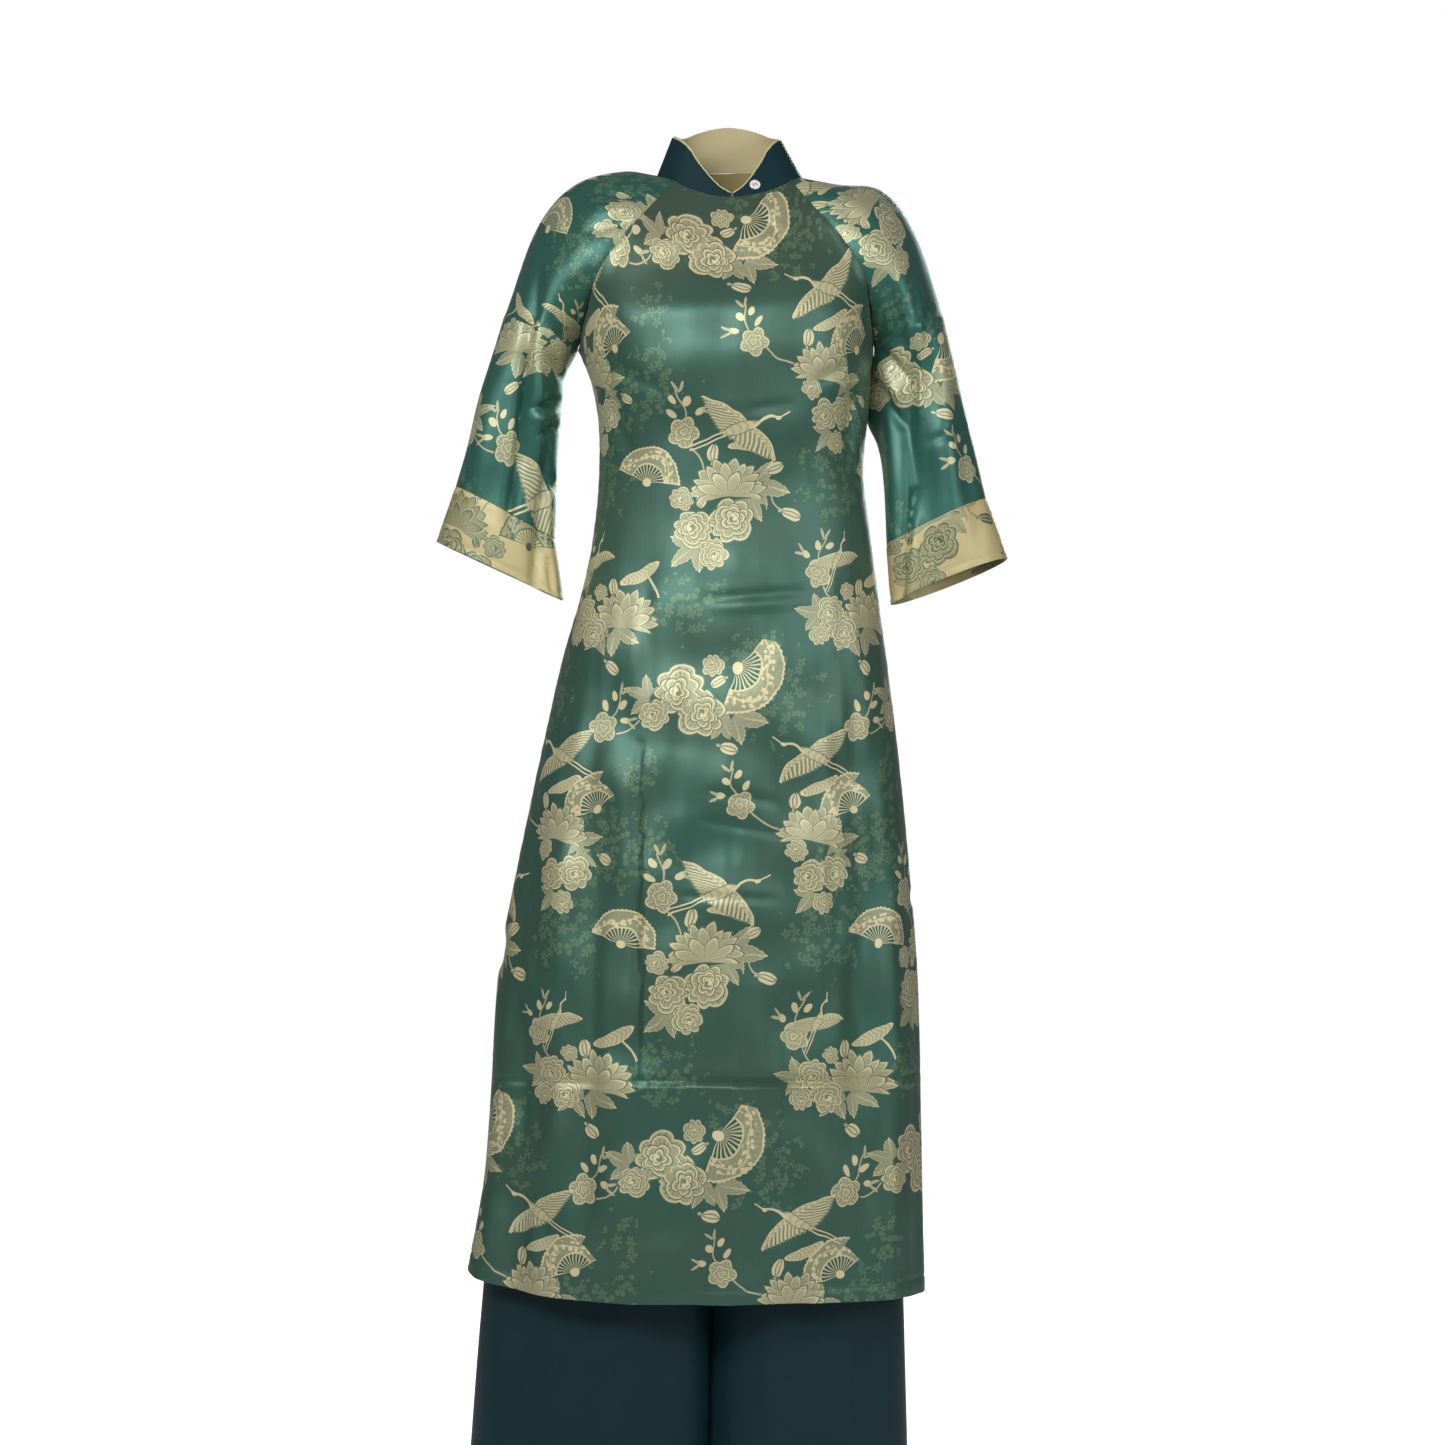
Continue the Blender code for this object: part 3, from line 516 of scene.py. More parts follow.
def figured(name, ground, pale, figures, muted_tone_and_yoke_shading, metal, roughness=(0.43, 0.50), yoke_shade=0.0):
    """Brocade seen from one side. Its colours are those of the ground, the faint sprays, the figures,
    and a muted tone of the ground: random, and painted shading over the yoke by the share yoke_shade."""
    made, start = new_finish(name)
    flat = start.node("ShaderNodeUVMap", {"uv_map": "cloth"})
    woven = start.node("ShaderNodeGroup", {"node_tree": brocade_figure}, {0: flat})
    gold, sprays, near = woven.beside().values()
    _, down, _ = flat.parts()
    # The muted tone shows at random by noise, and near the neck as painted shading over the yoke.
    muted_share_and_yoke_shading = flat.node("ShaderNodeTexNoise", inputs={"Vector": flat, "Scale": 9.0, "Detail": 2.0})
    muted_share_and_yoke_shading = muted_share_and_yoke_shading + ((YOKE_SHADING_DEPTH - down) * YOKE_SHADING_FADE).high(0.0).low(1.0) * yoke_shade
    base = (sprays * SPRAY_STRENGTH).between(muted_share_and_yoke_shading.between(ground, muted_tone_and_yoke_shading), pale)
    _, bump = weave_bump(flat, 0.25, FLOATS, SLUBS)
    rough = gold * (roughness[1] - roughness[0]) + roughness[0]
    plain, with_gold = (
        flat.node("ShaderNodeBsdfPrincipled", inputs={
            "Base Color": colour, "Roughness": roughness_here, "Metallic": metal, "Normal": bump,
            "Specular IOR Level": 0.9, "Specular Tint": (0.62, 1.0, 0.92, 1), "Sheen Weight": 0.12,
            "Sheen Roughness": 0.4,
        })
        for colour, roughness_here in ((base, roughness[0]), (gold.between(base, figures), rough))
    )
    flat.node("ShaderNodeMixShader", inputs={0: near, 1: plain, 2: with_gold}).cover()
    return made


brocade_figure = bpy.data.node_groups.new("brocade figure", "ShaderNodeTree")
brocade_figure.interface.new_socket("Cloth", in_out="INPUT", socket_type="NodeSocketVector")
for name in ("Gold", "Sprays", "Near"):
    brocade_figure.interface.new_socket(name, in_out="OUTPUT", socket_type="NodeSocketFloat")
given = brocade_figure.nodes.new("NodeGroupInput")
handed_back = brocade_figure.nodes.new("NodeGroupOutput")
cloth_marks = Shade(brocade_figure, given.outputs[0]).vector("SCALE")
cloth_marks.socket.node.inputs["Scale"].default_value = 1 / MARK
for number, shade in enumerate(figure(cloth_marks)):
    brocade_figure.links.new(shade.socket, handed_back.inputs[number])

# On the body the muted tone, greyer than on the sleeves, also serves as the painted shading over the
# yoke.
brocade = figured(
    "green brocade", (0.029, 0.122, 0.090, 1), (0.125, 0.205, 0.110, 1), (0.80, 0.69, 0.40, 1),
    (0.064, 0.104, 0.070, 1), metal=0.3, yoke_shade=0.6)
# Painted sheen: the sleeves' copy has a bluer, lighter ground, for the teal the satin shows along the
# arm.
sleeve_brocade_painted_sheen = figured(
    "green brocade on the sleeves", (0.028, 0.136, 0.106, 1), (0.125, 0.215, 0.130, 1),
    (0.80, 0.69, 0.40, 1), (0.036, 0.116, 0.083, 1), metal=0.3)
brocade_reverse = figured(
    "brocade wrong side", (0.61, 0.50, 0.24, 1), (0.46, 0.41, 0.20, 1), (0.040, 0.100, 0.068, 1),
    (0.55, 0.45, 0.21, 1), metal=0.1, roughness=(0.52, 0.50))

# ---- Teal satin ----
# Plain warp-faced satin of the collar and the trousers: very dark blue green, with a soft sheen along its
# folds. The same weave in pale gold lines the collar.
SATIN_FLOATS = (2000.0, 500.0, 1.0)


def plain_satin(name, deep, light):
    """Satin of one colour, which varies a little between a deep and a light shade."""
    made, start = new_finish(name)
    flat = start.node("ShaderNodeUVMap", {"uv_map": "cloth"})
    cloud = flat.node("ShaderNodeTexNoise", inputs={"Vector": flat, "Scale": 7.0, "Detail": 3.0})
    floats, bump = weave_bump(flat, 0.2, SATIN_FLOATS)
    flat.node("ShaderNodeBsdfPrincipled", inputs={
        "Base Color": cloud.between(deep, light), "Roughness": floats * 0.06 + 0.44, "Normal": bump,
        "Specular IOR Level": 0.22,
    }).cover()
    return made


teal_satin = plain_satin("teal satin", (0.0060, 0.028, 0.035, 1), (0.009, 0.037, 0.045, 1))
gold_satin = plain_satin("gold facing", (0.60, 0.52, 0.29, 1), (0.66, 0.58, 0.34, 1))

# ---- Tunic ----
# Raglan tunic of figured satin: a front and a back panel, sewn down the sides to slits at the hips,
# and two sleeves that run up to the neck. Each is a wall of cloth, made row by row down the garment. The
# width, length and area of each cut, and whether it hangs or is stretched, are listed but not used. A
# side is 1 for the wearer's left and -1 for the right.
Cloth = namedtuple("Cloth", "slot thickness face reverse")
Cut = namedtuple("Cut", "width length area held")
BODY_CLOTH = Cloth("green_brocade", 0.0012, brocade, brocade_reverse)
SLEEVE_CLOTH = BODY_CLOTH._replace(face=sleeve_brocade_painted_sheen)
FRONT_CUT = Cut(0.546, 1.147, 0.517, "hung")
BACK_CUT = Cut(0.568, 1.191, 0.532, "hung")
SIDES = {1: "left", -1: "right"}
SEAM_GAP = 0.00036
YOKE_ROWS = 40
BODY_ROWS = 310
FRONT_COLUMNS = 140
BACK_COLUMNS = 120

Body = namedtuple("Body", "z left right front back")
BODY = table(Body, (
    (-0.181, -0.162, 0.1490, -0.121, 0.112), (-0.200, -0.152, 0.1455, -0.121, 0.110),
    (-0.235, -0.1425, 0.1435, -0.117, 0.102), (-0.306, -0.139, 0.1375, -0.098, 0.083),
    (-0.369, -0.144, 0.1445, -0.095, 0.088), (-0.431, -0.156, 0.1520, -0.099, 0.101),
    (-0.499, -0.176, 0.1610, -0.104, 0.114), (-0.596, -0.198, 0.1730, -0.108, 0.122),
    (-0.718, -0.224, 0.1850, -0.111, 0.125), (-0.821, -0.243, 0.1935, -0.113, 0.127),
    (-0.965, -0.251, 0.1965, -0.115, 0.130), (-1.075, -0.259, 0.1980, -0.117, 0.132),
    (-1.157, -0.2735, 0.1990, -0.118, 0.134),
))
SLIT_TOP = -0.79
SLIT_SPREAD = 0.030
HEM_RISE = 0.024
FRONT_FLATNESS = 0.86
Gape = namedtuple("Gape", "z height inset")
GAPES = {-1: Gape(-0.808, 0.017, 0.0085), 1: Gape(-0.753, 0.008, 0.0035)}

Yoke = namedtuple("Yoke", "mid_y mid_z seam_x seam_y seam_z blade_x blade_y blade_z")
FRONT_YOKE = table(Yoke, (
    (-0.055, -0.029, 0.0610, -0.031, -0.008, 0.0700, -0.018, -0.003),
    (-0.074, -0.063, 0.0840, -0.057, -0.039, 0.1020, -0.046, -0.020),
    (-0.094, -0.101, 0.1115, -0.073, -0.072, 0.1420, -0.060, -0.045),
    (-0.110, -0.141, 0.1370, -0.068, -0.117, 0.1740, -0.064, -0.098),
    (-0.121, -0.181, 0.1490, 0.000, -0.181, 0.1860, -0.060, -0.168),
))
BACK_YOKE = table(Yoke, (
    (0.059, 0.016, 0.0610, 0.036, 0.005, 0.0700, 0.022, 0.002),
    (0.084, -0.020, 0.0840, 0.070, -0.024, 0.1040, 0.052, -0.014),
    (0.102, -0.068, 0.1120, 0.091, -0.062, 0.1430, 0.070, -0.042),
    (0.111, -0.123, 0.1370, 0.083, -0.115, 0.1740, 0.070, -0.098),
    (0.112, -0.181, 0.1490, 0.000, -0.181, 0.1860, 0.060, -0.168),
))
SEAM_ANGLES = [56.0, 62.0, 69.0, 79.0, 90.0]
YOKE_SMOOTHING = 90
BUST_FULLNESS = 0.007
BUST_APEX = (0.082, -0.172)
BUST_SPREAD = (0.060, 0.055)

Fold = namedtuple("Fold", "at width depth")
FRONT_FOLDS = table(Fold, (
    (-0.62, 0.16, -0.006), (-0.22, 0.20, 0.004), (0.20, 0.16, -0.004), (0.60, 0.14, 0.006),
    (0.84, 0.08, -0.004),
))
BACK_FOLDS = table(Fold, (
    (-0.66, 0.14, 0.008), (-0.25, 0.16, -0.008), (0.14, 0.15, 0.008), (0.55, 0.15, -0.008),
))
FOLDS_START = -0.42

# A crease runs between two places seen from the front, x and z; a depth below zero is a trough.
Crease = namedtuple("Crease", "x0 z0 x1 z1 width depth")
FRONT_CREASES = table(Crease, (
    # pressed in the packet: one level fold across the skirt and one upright fold
    (-0.098, -0.9320, 0.196, -0.9330, 0.0036, -0.0048), (-0.100, -0.9380, 0.196, -0.9390, 0.0036, 0.0030),
    (-0.250, -0.9380, -0.125, -0.9340, 0.0036, -0.0030),
    (-0.0943, -0.590, -0.0950, -0.960, 0.0036, -0.0042),
    (-0.0880, -0.600, -0.0890, -0.950, 0.0036, 0.0030), (-0.050, -0.745, 0.040, -0.749, 0.0040, -0.0020),
    # soft upright folds of the skirt
    (-0.205, -0.660, -0.226, -1.160, 0.016, -0.0050), (-0.172, -0.600, -0.190, -1.150, 0.020, 0.0040),
    (-0.140, -0.640, -0.150, -1.150, 0.016, -0.0040), (-0.112, -0.540, -0.116, -1.120, 0.018, 0.0030),
    (-0.045, -0.600, -0.050, -1.150, 0.020, -0.0034), (0.006, -0.520, 0.004, -1.150, 0.020, 0.0032),
    (0.052, -0.660, 0.054, -1.150, 0.015, -0.0042), (0.086, -0.590, 0.088, -1.150, 0.014, 0.0056),
    (0.128, -0.560, 0.134, -1.150, 0.015, -0.0060), (0.164, -0.660, 0.170, -1.150, 0.012, 0.0040),
    # pulls across the chest, the waist and the lap
    (-0.118, -0.150, 0.090, -0.152, 0.016, 0.0030), (-0.080, -0.105, 0.070, -0.098, 0.022, -0.0028),
    (-0.082, -0.300, -0.090, -0.480, 0.012, -0.0016), (0.070, -0.290, 0.088, -0.470, 0.014, -0.0020),
    (-0.026, -0.444, 0.072, -0.436, 0.0050, -0.0022), (-0.020, -0.452, 0.066, -0.446, 0.0070, 0.0016),
    (0.016, -0.254, 0.058, -0.248, 0.0050, -0.0019), (-0.020, -0.640, 0.044, -0.652, 0.0060, -0.0019),
    (-0.030, -0.668, 0.050, -0.684, 0.0050, -0.0019), (-0.132, -0.226, -0.100, -0.300, 0.0080, -0.0035),
    (0.124, -0.214, 0.118, -0.320, 0.0060, -0.0035), (0.132, -0.240, 0.128, -0.300, 0.0040, 0.0032),
    (-0.128, -0.205, -0.070, -0.232, 0.0070, -0.0029), (0.126, -0.196, 0.086, -0.226, 0.0070, -0.0029),
    (0.028, -0.052, 0.052, -0.078, 0.0070, -0.0026), (-0.038, -0.060, -0.070, -0.108, 0.0080, -0.0022),
))
BACK_CREASES = table(Crease, (
    (-0.190, -0.640, -0.212, -1.150, 0.020, 0.0046), (-0.140, -0.600, -0.155, -1.150, 0.018, -0.0050),
    (-0.080, -0.560, -0.090, -1.150, 0.020, 0.0044), (-0.020, -0.580, -0.024, -1.150, 0.018, -0.0046),
    (0.040, -0.540, 0.044, -1.150, 0.018, 0.0046), (0.096, -0.560, 0.104, -1.150, 0.016, -0.0052),
    (0.150, -0.640, 0.160, -1.150, 0.014, 0.0042), (-0.200, -0.930, 0.190, -0.936, 0.0034, -0.0035),
    (-0.090, -0.300, -0.100, -0.460, 0.014, -0.0022), (0.080, -0.290, 0.092, -0.450, 0.014, -0.0022),
    (-0.060, -0.330, 0.050, -0.322, 0.0080, -0.0029), (-0.050, -0.372, 0.066, -0.380, 0.0080, -0.0029),
    (-0.110, -0.160, -0.040, -0.250, 0.012, -0.0020), (0.106, -0.160, 0.040, -0.250, 0.012, -0.0020),
    (0.000, -0.030, 0.002, -0.200, 0.014, -0.0020), (0.002, -0.600, 0.000, -0.960, 0.0030, -0.0026),
))
# Where on the brocade each piece was cut: how far its pattern is moved across and down
PATTERN_SHIFTS = {
    "front_panel": (0.0, -0.0545), "back_panel": (0.110, -0.030),
    "left_sleeve": (0.060, 0.190), "right_sleeve": (-0.050, 0.120),
}
# Height and width of the soft dips and ridges that sewing leaves, and the size of their ripples
SEAM_DIP = (0.0009, 0.0026)
SEAM_PUCKER = (0.0006, 0.014)
PUCKER_SIZE = 0.009
SLIT_EDGE_SHARE = 0.35
HEM_DEPTH = 0.0145
HEM_DIP = (0.0010, 0.0016)
HEM_THICKNESS = 0.0005
HEM_WAVE = 0.0009
HEM_WAVE_SIZE = 0.016
# Stitches are drawn a little thicker than real thread, so that they show.
STITCH_LONG = 0.0021
STITCH_PITCH = 0.0030
STITCH_RADIUS = 0.00024
# Loose cloth: the size of its billows and of the hanging folds, which fade above the hips
BILLOW = 0.0054
SLEEVE_BILLOW = 0.0022
BILLOW_SIZE = 0.06
HANG = 0.55
HANG_SIZE = (0.018, 0.018, 0.09)
HANG_GROWS = (-0.30, -0.60)
# Creases wander this far from straight, apart from the sharp ones, up to the given width
CREASE_WANDER = 0.007
WANDER_SIZE = 0.06
SHARP_WIDTH = 0.0037
# The level of the waist, and how far above and below it the panels lie close to the waistband
WAIST = (-0.355, 0.065)
SNUG = 0.8


def between_knots(t, step, start, end, start_slope, end_slope):
    """Cubic curve from a start to an end one step apart, with the slopes that it has there."""
    return (
        (2 * t**3 - 3 * t**2 + 1) * start
        + (t**3 - 2 * t**2 + t) * step * start_slope
        + (-2 * t**3 + 3 * t**2) * end
        + (t**3 - t**2) * step * end_slope
    )


def curve_through(rows, at, knots=None):
    """Smooth curve through a table's rows, read at one place: every column at once, as an array."""
    values = np.array(rows, float)
    knots = np.arange(len(rows), dtype=float) if knots is None else np.array(knots, float)
    if knots[0] > knots[-1]:
        knots, at = -knots, -at
    at = min(max(at, knots[0]), knots[-1])
    i = min(int(np.searchsorted(knots, at, side="right")) - 1, len(knots) - 2)
    slopes = np.gradient(values, knots, axis=0, edge_order=1)
    step = knots[i + 1] - knots[i]
    return between_knots((at - knots[i]) / step, step, values[i], values[i + 1], slopes[i], slopes[i + 1])


def smoothstep(low, high, value):
    t = np.clip((value - low) / (high - low), 0.0, 1.0)
    return t * t * (3 - 2 * t)


def bell(away, height, width):
    """Height of a soft rounded ridge at a distance from its middle."""
    return height * np.exp(-((away / width) ** 2))


def folds_at(folds, across, z):
    """Outward swell of a panel from its broad folds, which grow from the hips to the hem."""
    share = smoothstep(FOLDS_START, BODY[-1].z, z)
    return share * sum(bell(across - fold.at, fold.depth, fold.width) for fold in folds)


def row_across(left, middle, right, angle, columns, flatness):
    """One row of a front or back panel: an elliptical arc from the seam at -X to the seam at +X."""
    across = np.linspace(-1, 1, columns + 1)
    last = math.radians(angle)
    turn = np.abs(across) * last
    out = np.sin(turn) / math.sin(last)
    fall = np.maximum((np.cos(turn) - math.cos(last)) / (1 - math.cos(last)), 0.0)
    end = np.where(across[:, None] > 0, np.array(right, float), np.array(left, float))
    x = middle[0] + (end[:, 0] - middle[0]) * out
    y = end[:, 1] + (middle[1] - end[:, 1]) * fall**flatness
    z = end[:, 2] + (middle[2] - end[:, 2]) * fall
    return np.stack([x, y, z], axis=1)


def right_seam_scale(k):
    """The underarm at -X lies further out than the other one; the neck is even."""
    return 1 + (BODY[0].left / -BODY[0].right - 1) * (k / (len(SEAM_ANGLES) - 1)) ** 4


def body_panel(front, columns):
    """Outer points of the front or the back panel, neck to hem, as an array of rows and columns."""
    yokes = FRONT_YOKE if front else BACK_YOKE
    folds = FRONT_FOLDS if front else BACK_FOLDS
    last = len(yokes) - 1
    rows = []
    for k in np.linspace(0, last, YOKE_ROWS + 1)[:-1]:
        yoke = Yoke(*curve_through(yokes, k))
        angle = float(curve_through([[a] for a in SEAM_ANGLES], k)[0])
        seam = (yoke.seam_x, yoke.seam_y, yoke.seam_z)
        mirrored = (-yoke.seam_x * right_seam_scale(k), yoke.seam_y, yoke.seam_z)
        flatness = 1 + (FRONT_FLATNESS - 1) * (k / last) ** 2
        rows.append(row_across(mirrored, (0, yoke.mid_y, yoke.mid_z), seam, angle, columns, flatness))
    for z in np.linspace(BODY[0].z, BODY[-1].z, BODY_ROWS + 1):
        section = Body(*curve_through(BODY, z, [row.z for row in BODY]))
        open_here = smoothstep(SLIT_TOP, BODY[-1].z, z)
        side_y = (-1 if front else 1) * SLIT_SPREAD * open_here
        depth = section.front if front else section.back
        left = (section.left, side_y, z + HEM_RISE * open_here)
        right = (section.right, side_y, z)
        middle = ((section.left + section.right) / 2, depth, z)
        rows.append(row_across(left, middle, right, SEAM_ANGLES[-1], columns, FRONT_FLATNESS))
    grid = np.array(rows)
    across = np.linspace(-1, 1, columns + 1)
    flank = 1 - across**8
    for _ in range(YOKE_SMOOTHING):
        middle = (grid[:-2] + grid[2:]) / 2 - grid[1:-1]
        grid[1:-1] += 0.5 * middle * flank[:, None]
    for side, gape in GAPES.items():
        pull = gape.inset * np.exp(-(((grid[:, :, 2] - gape.z) / gape.height) ** 4))
        grid[:, :, 0] -= side * pull * np.maximum(across * side, 0) ** 14
    grid[:, :, 1] += (-1 if front else 1) * folds_at(folds, across, grid[:, :, 2]) * flank
    if front:
        for apex in (-BUST_APEX[0], BUST_APEX[0]):
            away = ((grid[:, :, 0] - apex) / BUST_SPREAD[0]) ** 2
            away += ((grid[:, :, 2] - BUST_APEX[1]) / BUST_SPREAD[1]) ** 2
            grid[:, :, 1] -= BUST_FULLNESS * np.exp(-away) * flank
    return grid


def normals_of(grid, closed):
    """Unit normals of a grid of points, one for each point, by the slopes along its rows and columns."""
    down = np.gradient(grid, axis=0)
    if closed:
        loop = np.concatenate([grid[:, -2:-1], grid, grid[:, 1:2]], axis=1)
        across = (loop[:, 2:] - loop[:, :-2]) / 2
    else:
        across = np.gradient(grid, axis=1)
    made = np.cross(down, across)
    return made / np.linalg.norm(made, axis=2, keepdims=True)


def outward(grid, normals, centre):
    """Turns the normals to point away from the garment's inside."""
    away = np.sum(normals * (grid - centre), axis=2).sum()
    return normals if away > 0 else -normals


def share_normals(one, two, weight):
    """Gives two panels' edges the same normals where weight is 1, so their walls stay parallel."""
    mean = one + two
    mean /= np.maximum(np.linalg.norm(mean, axis=-1, keepdims=True), 1e-9)
    for edge in (one, two):
        mixed = edge * (1 - weight) + mean * weight
        edge[:] = mixed / np.linalg.norm(mixed, axis=-1, keepdims=True)


def draw_in(grid, rows, column, neighbour, distance):
    """Moves the points of one edge column towards the panel's inside, to leave the seam's gap."""
    step = grid[rows, neighbour] - grid[rows, column]
    grid[rows, column] += step * (distance / np.linalg.norm(step, axis=-1, keepdims=True))


def noise_over(grid, size, seed):
    """Smooth noise from -1 to 1 at each point of a grid, the same every run."""
    points = (grid / size + seed * 17.0).reshape(-1, 3)
    return np.array([noise.noise(Vector(p)) for p in points]).reshape(grid.shape[:2])


def creased(grid, normals, creases, facing, billow=BILLOW, snug=0.0):
    """Presses uneven troughs and ridges into what faces one way, and a faint billow into it all."""
    towards = np.clip(normals[:, :, 1] * facing * 2.5, 0, 1)
    wander = np.stack([noise_over(grid, WANDER_SIZE, seed) for seed in (1, 2)], axis=2)
    depth = np.zeros(grid.shape[:2])
    for crease in creases:
        reach = min(CREASE_WANDER, max(crease.width - SHARP_WIDTH, 0.0) * 1.6)
        seen = grid[:, :, [0, 2]] + wander * reach
        start = np.array((crease.x0, crease.z0))
        along = np.array((crease.x1, crease.z1)) - start
        share = np.clip((seen - start) @ along / (along @ along), 0, 1)
        aside = np.linalg.norm(seen - start - share[:, :, None] * along, axis=2)
        swell = np.sin(math.pi * (0.06 + 0.88 * share)) ** 0.6
        depth += swell * bell(aside, crease.depth, crease.width)
    loose = np.clip(np.abs(normals[:, :, 1]) * 1.5 - 0.35, 0.08, 1)
    hang = HANG * (0.2 + 0.8 * smoothstep(*HANG_GROWS, grid[:, :, 2]))
    loose *= billow * (noise_over(grid, BILLOW_SIZE, 3) + hang * noise_over(grid, np.array(HANG_SIZE), 6))
    moved = depth * towards + loose
    near_waist = np.exp(-(((grid[:, :, 2] - WAIST[0]) / WAIST[1]) ** 4))
    moved = np.where(moved < 0, moved * (1 - snug * near_waist), moved)
    return grid + normals * moved[:, :, None]


def lengths(points, axis):
    """Distance walked along the grid's rows or columns, from its first point."""
    steps = np.linalg.norm(np.diff(points, axis=axis), axis=2)
    start = np.zeros_like(np.take(steps, [0], axis=axis))
    return np.concatenate([start, np.cumsum(steps, axis=axis)], axis=axis)


def cloth_place(grid, middle, shift=(0.0, 0.0)):
    """Where each point lies on the flat cloth: across from the middle column, and down from the top."""
    across = lengths(grid, 1)
    across = across - across[:, [middle]] + shift[0]
    down = np.broadcast_to(lengths(grid, 0)[:, [middle]], across.shape) + shift[1]
    return across, down


def sewn(grid, normals, place, seamed_rows, hem=0.0):
    """Sinks a panel's edges into its seams, with small puckers, and turns a stitched hem at its foot."""
    across, down = place
    ripple = noise_over(grid, PUCKER_SIZE, 4)
    sunk = np.zeros(across.shape)
    held = np.where(np.arange(len(grid)) <= seamed_rows, 1.0, SLIT_EDGE_SHARE)[:, None]
    for near in (across - across[:, :1], across[:, -1:] - across):
        sunk += held * (bell(near, *SEAM_DIP) + ripple * bell(near, *SEAM_PUCKER))
    if hem:
        up = down[-1:] - down
        sunk += bell(up - hem, *HEM_DIP) - HEM_THICKNESS * smoothstep(hem + 0.001, hem - 0.001, up)
        sunk += noise_over(grid, HEM_WAVE_SIZE, 5) * bell(up, HEM_WAVE, hem * 1.4)
    return grid - normals * sunk[:, :, None]


def shell(node, outer, out, place, cloth, joined_from=None):
    """A node's cloth: a closed wall from its outer points inwards, with where each point lies on the flat
    cloth. From row joined_from on, the first and last columns are one."""
    rows, columns = outer.shape[:2]
    joined_from = rows if joined_from is None else joined_from
    number = np.arange(rows * columns).reshape(rows, columns)
    used = number.copy()
    used[joined_from:, -1] = used[joined_from:, 0]
    r, c = np.meshgrid(np.arange(rows - 1), np.arange(columns - 1), indexing="ij")
    quads = np.stack([number[r, c], number[r + 1, c], number[r + 1, c + 1], number[r, c + 1]], axis=2)
    quads = quads.reshape(-1, 4)
    count = rows * columns
    faces = [quads, quads[:, ::-1] + count]
    edges = number[: joined_from + 1, 0], number[: joined_from + 1, -1]
    for line, way in ((number[0], 1), (number[-1], -1), (edges[0], -1), (edges[1], 1)):
        rim = np.stack([line[:-1], line[1:], line[1:] + count, line[:-1] + count], axis=1)
        faces.append(rim[:, ::way])
    faces = np.concatenate(faces)
    merged = np.concatenate([used.ravel(), used.ravel() + count])
    inner = outer - out * cloth.thickness
    points = np.concatenate([outer.reshape(-1, 3), inner.reshape(-1, 3)])
    name = f"{node}_cloth"
    data = bpy.data.meshes.new(name)
    data.from_pydata(points.tolist(), [], merged[faces].tolist())
    flat = np.stack([place[0].ravel(), place[1].ravel()], axis=1)
    flat = np.concatenate([flat, flat])
    data.uv_layers.new(name="cloth").data.foreach_set("uv", flat[faces.ravel()].ravel())
    slots = np.zeros(len(faces), dtype=np.int32)
    slots[len(quads) : 2 * len(quads)] = 1
    data.materials.append(cloth.face)
    data.materials.append(cloth.reverse)
    data.polygons.foreach_set("material_index", slots)
    mesh = bmesh.new()
    mesh.from_mesh(data)
    bmesh.ops.delete(mesh, geom=[v for v in mesh.verts if not v.link_faces], context="VERTS")
    bmesh.ops.recalc_face_normals(mesh, faces=mesh.faces)
    mesh.to_mesh(data)
    mesh.free()
    data.shade_smooth()
    data.set_sharp_from_angle(angle=math.radians(50))
    made = placed(name, data)
    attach(made, "root")
    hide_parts(node)


def line_above_foot(grid, height):
    """The row, with its fraction, that lies at a height above each column's foot."""
    down = lengths(grid, 0)
    return [float(np.interp(d[-1] - height, d, np.arange(len(d)))) for d in down.T]


def stitches(name, grid, normals, line, thread, size=1.0):
    """A row of lockstitches along a line of the cloth: short tapered lengths of thread in one mesh."""
    at = np.array(line)
    row, share = at.astype(int), (at % 1)[:, None]
    column = np.arange(grid.shape[1])
    below = np.minimum(row + 1, len(grid) - 1)
    path = grid[row, column] * (1 - share) + grid[below, column] * share
    facing = normals[row, column]
    walked = np.concatenate([[0], np.cumsum(np.linalg.norm(np.diff(path, axis=0), axis=1))])
    points, faces = [], []
    pitch, radius = STITCH_PITCH * size, STITCH_RADIUS * size
    half = STITCH_LONG * size / 2
    for middle in np.arange(pitch, walked[-1] - pitch / 2, pitch):
        ends = [np.array([np.interp(middle + reach, walked, path[:, axis]) for axis in range(3)])
                for reach in (-half, half)]
        out = np.array([np.interp(middle, walked, facing[:, axis]) for axis in range(3)])
        out /= np.linalg.norm(out)
        aside = np.cross(out, ends[1] - ends[0])
        aside /= np.linalg.norm(aside)
        first = len(points)
        for part, thick, lift in ((0.0, 0.3, -0.6), (0.22, 1.0, 0.4), (0.78, 1.0, 0.4), (1.0, 0.3, -0.6)):
            centre = ends[0] * (1 - part) + ends[1] * part + out * radius * lift
            for one, two in ((1, 0), (0, 1), (-1, 0), (0, -1)):
                points.append(centre + radius * thick * (aside * one + out * two))
        for ring in range(first, first + 12, 4):
            for k, following in ((0, 1), (1, 2), (2, 3), (3, 0)):
                faces.append((ring + k, ring + following, ring + 4 + following, ring + 4 + k))
        faces += [tuple(range(first + 3, first - 1, -1)), tuple(range(first + 12, first + 16))]
    data = bpy.data.meshes.new(name)
    data.from_pydata([tuple(p) for p in points], [], faces)
    data.materials.append(thread)
    data.shade_smooth()
    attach(placed(name, data), "root")


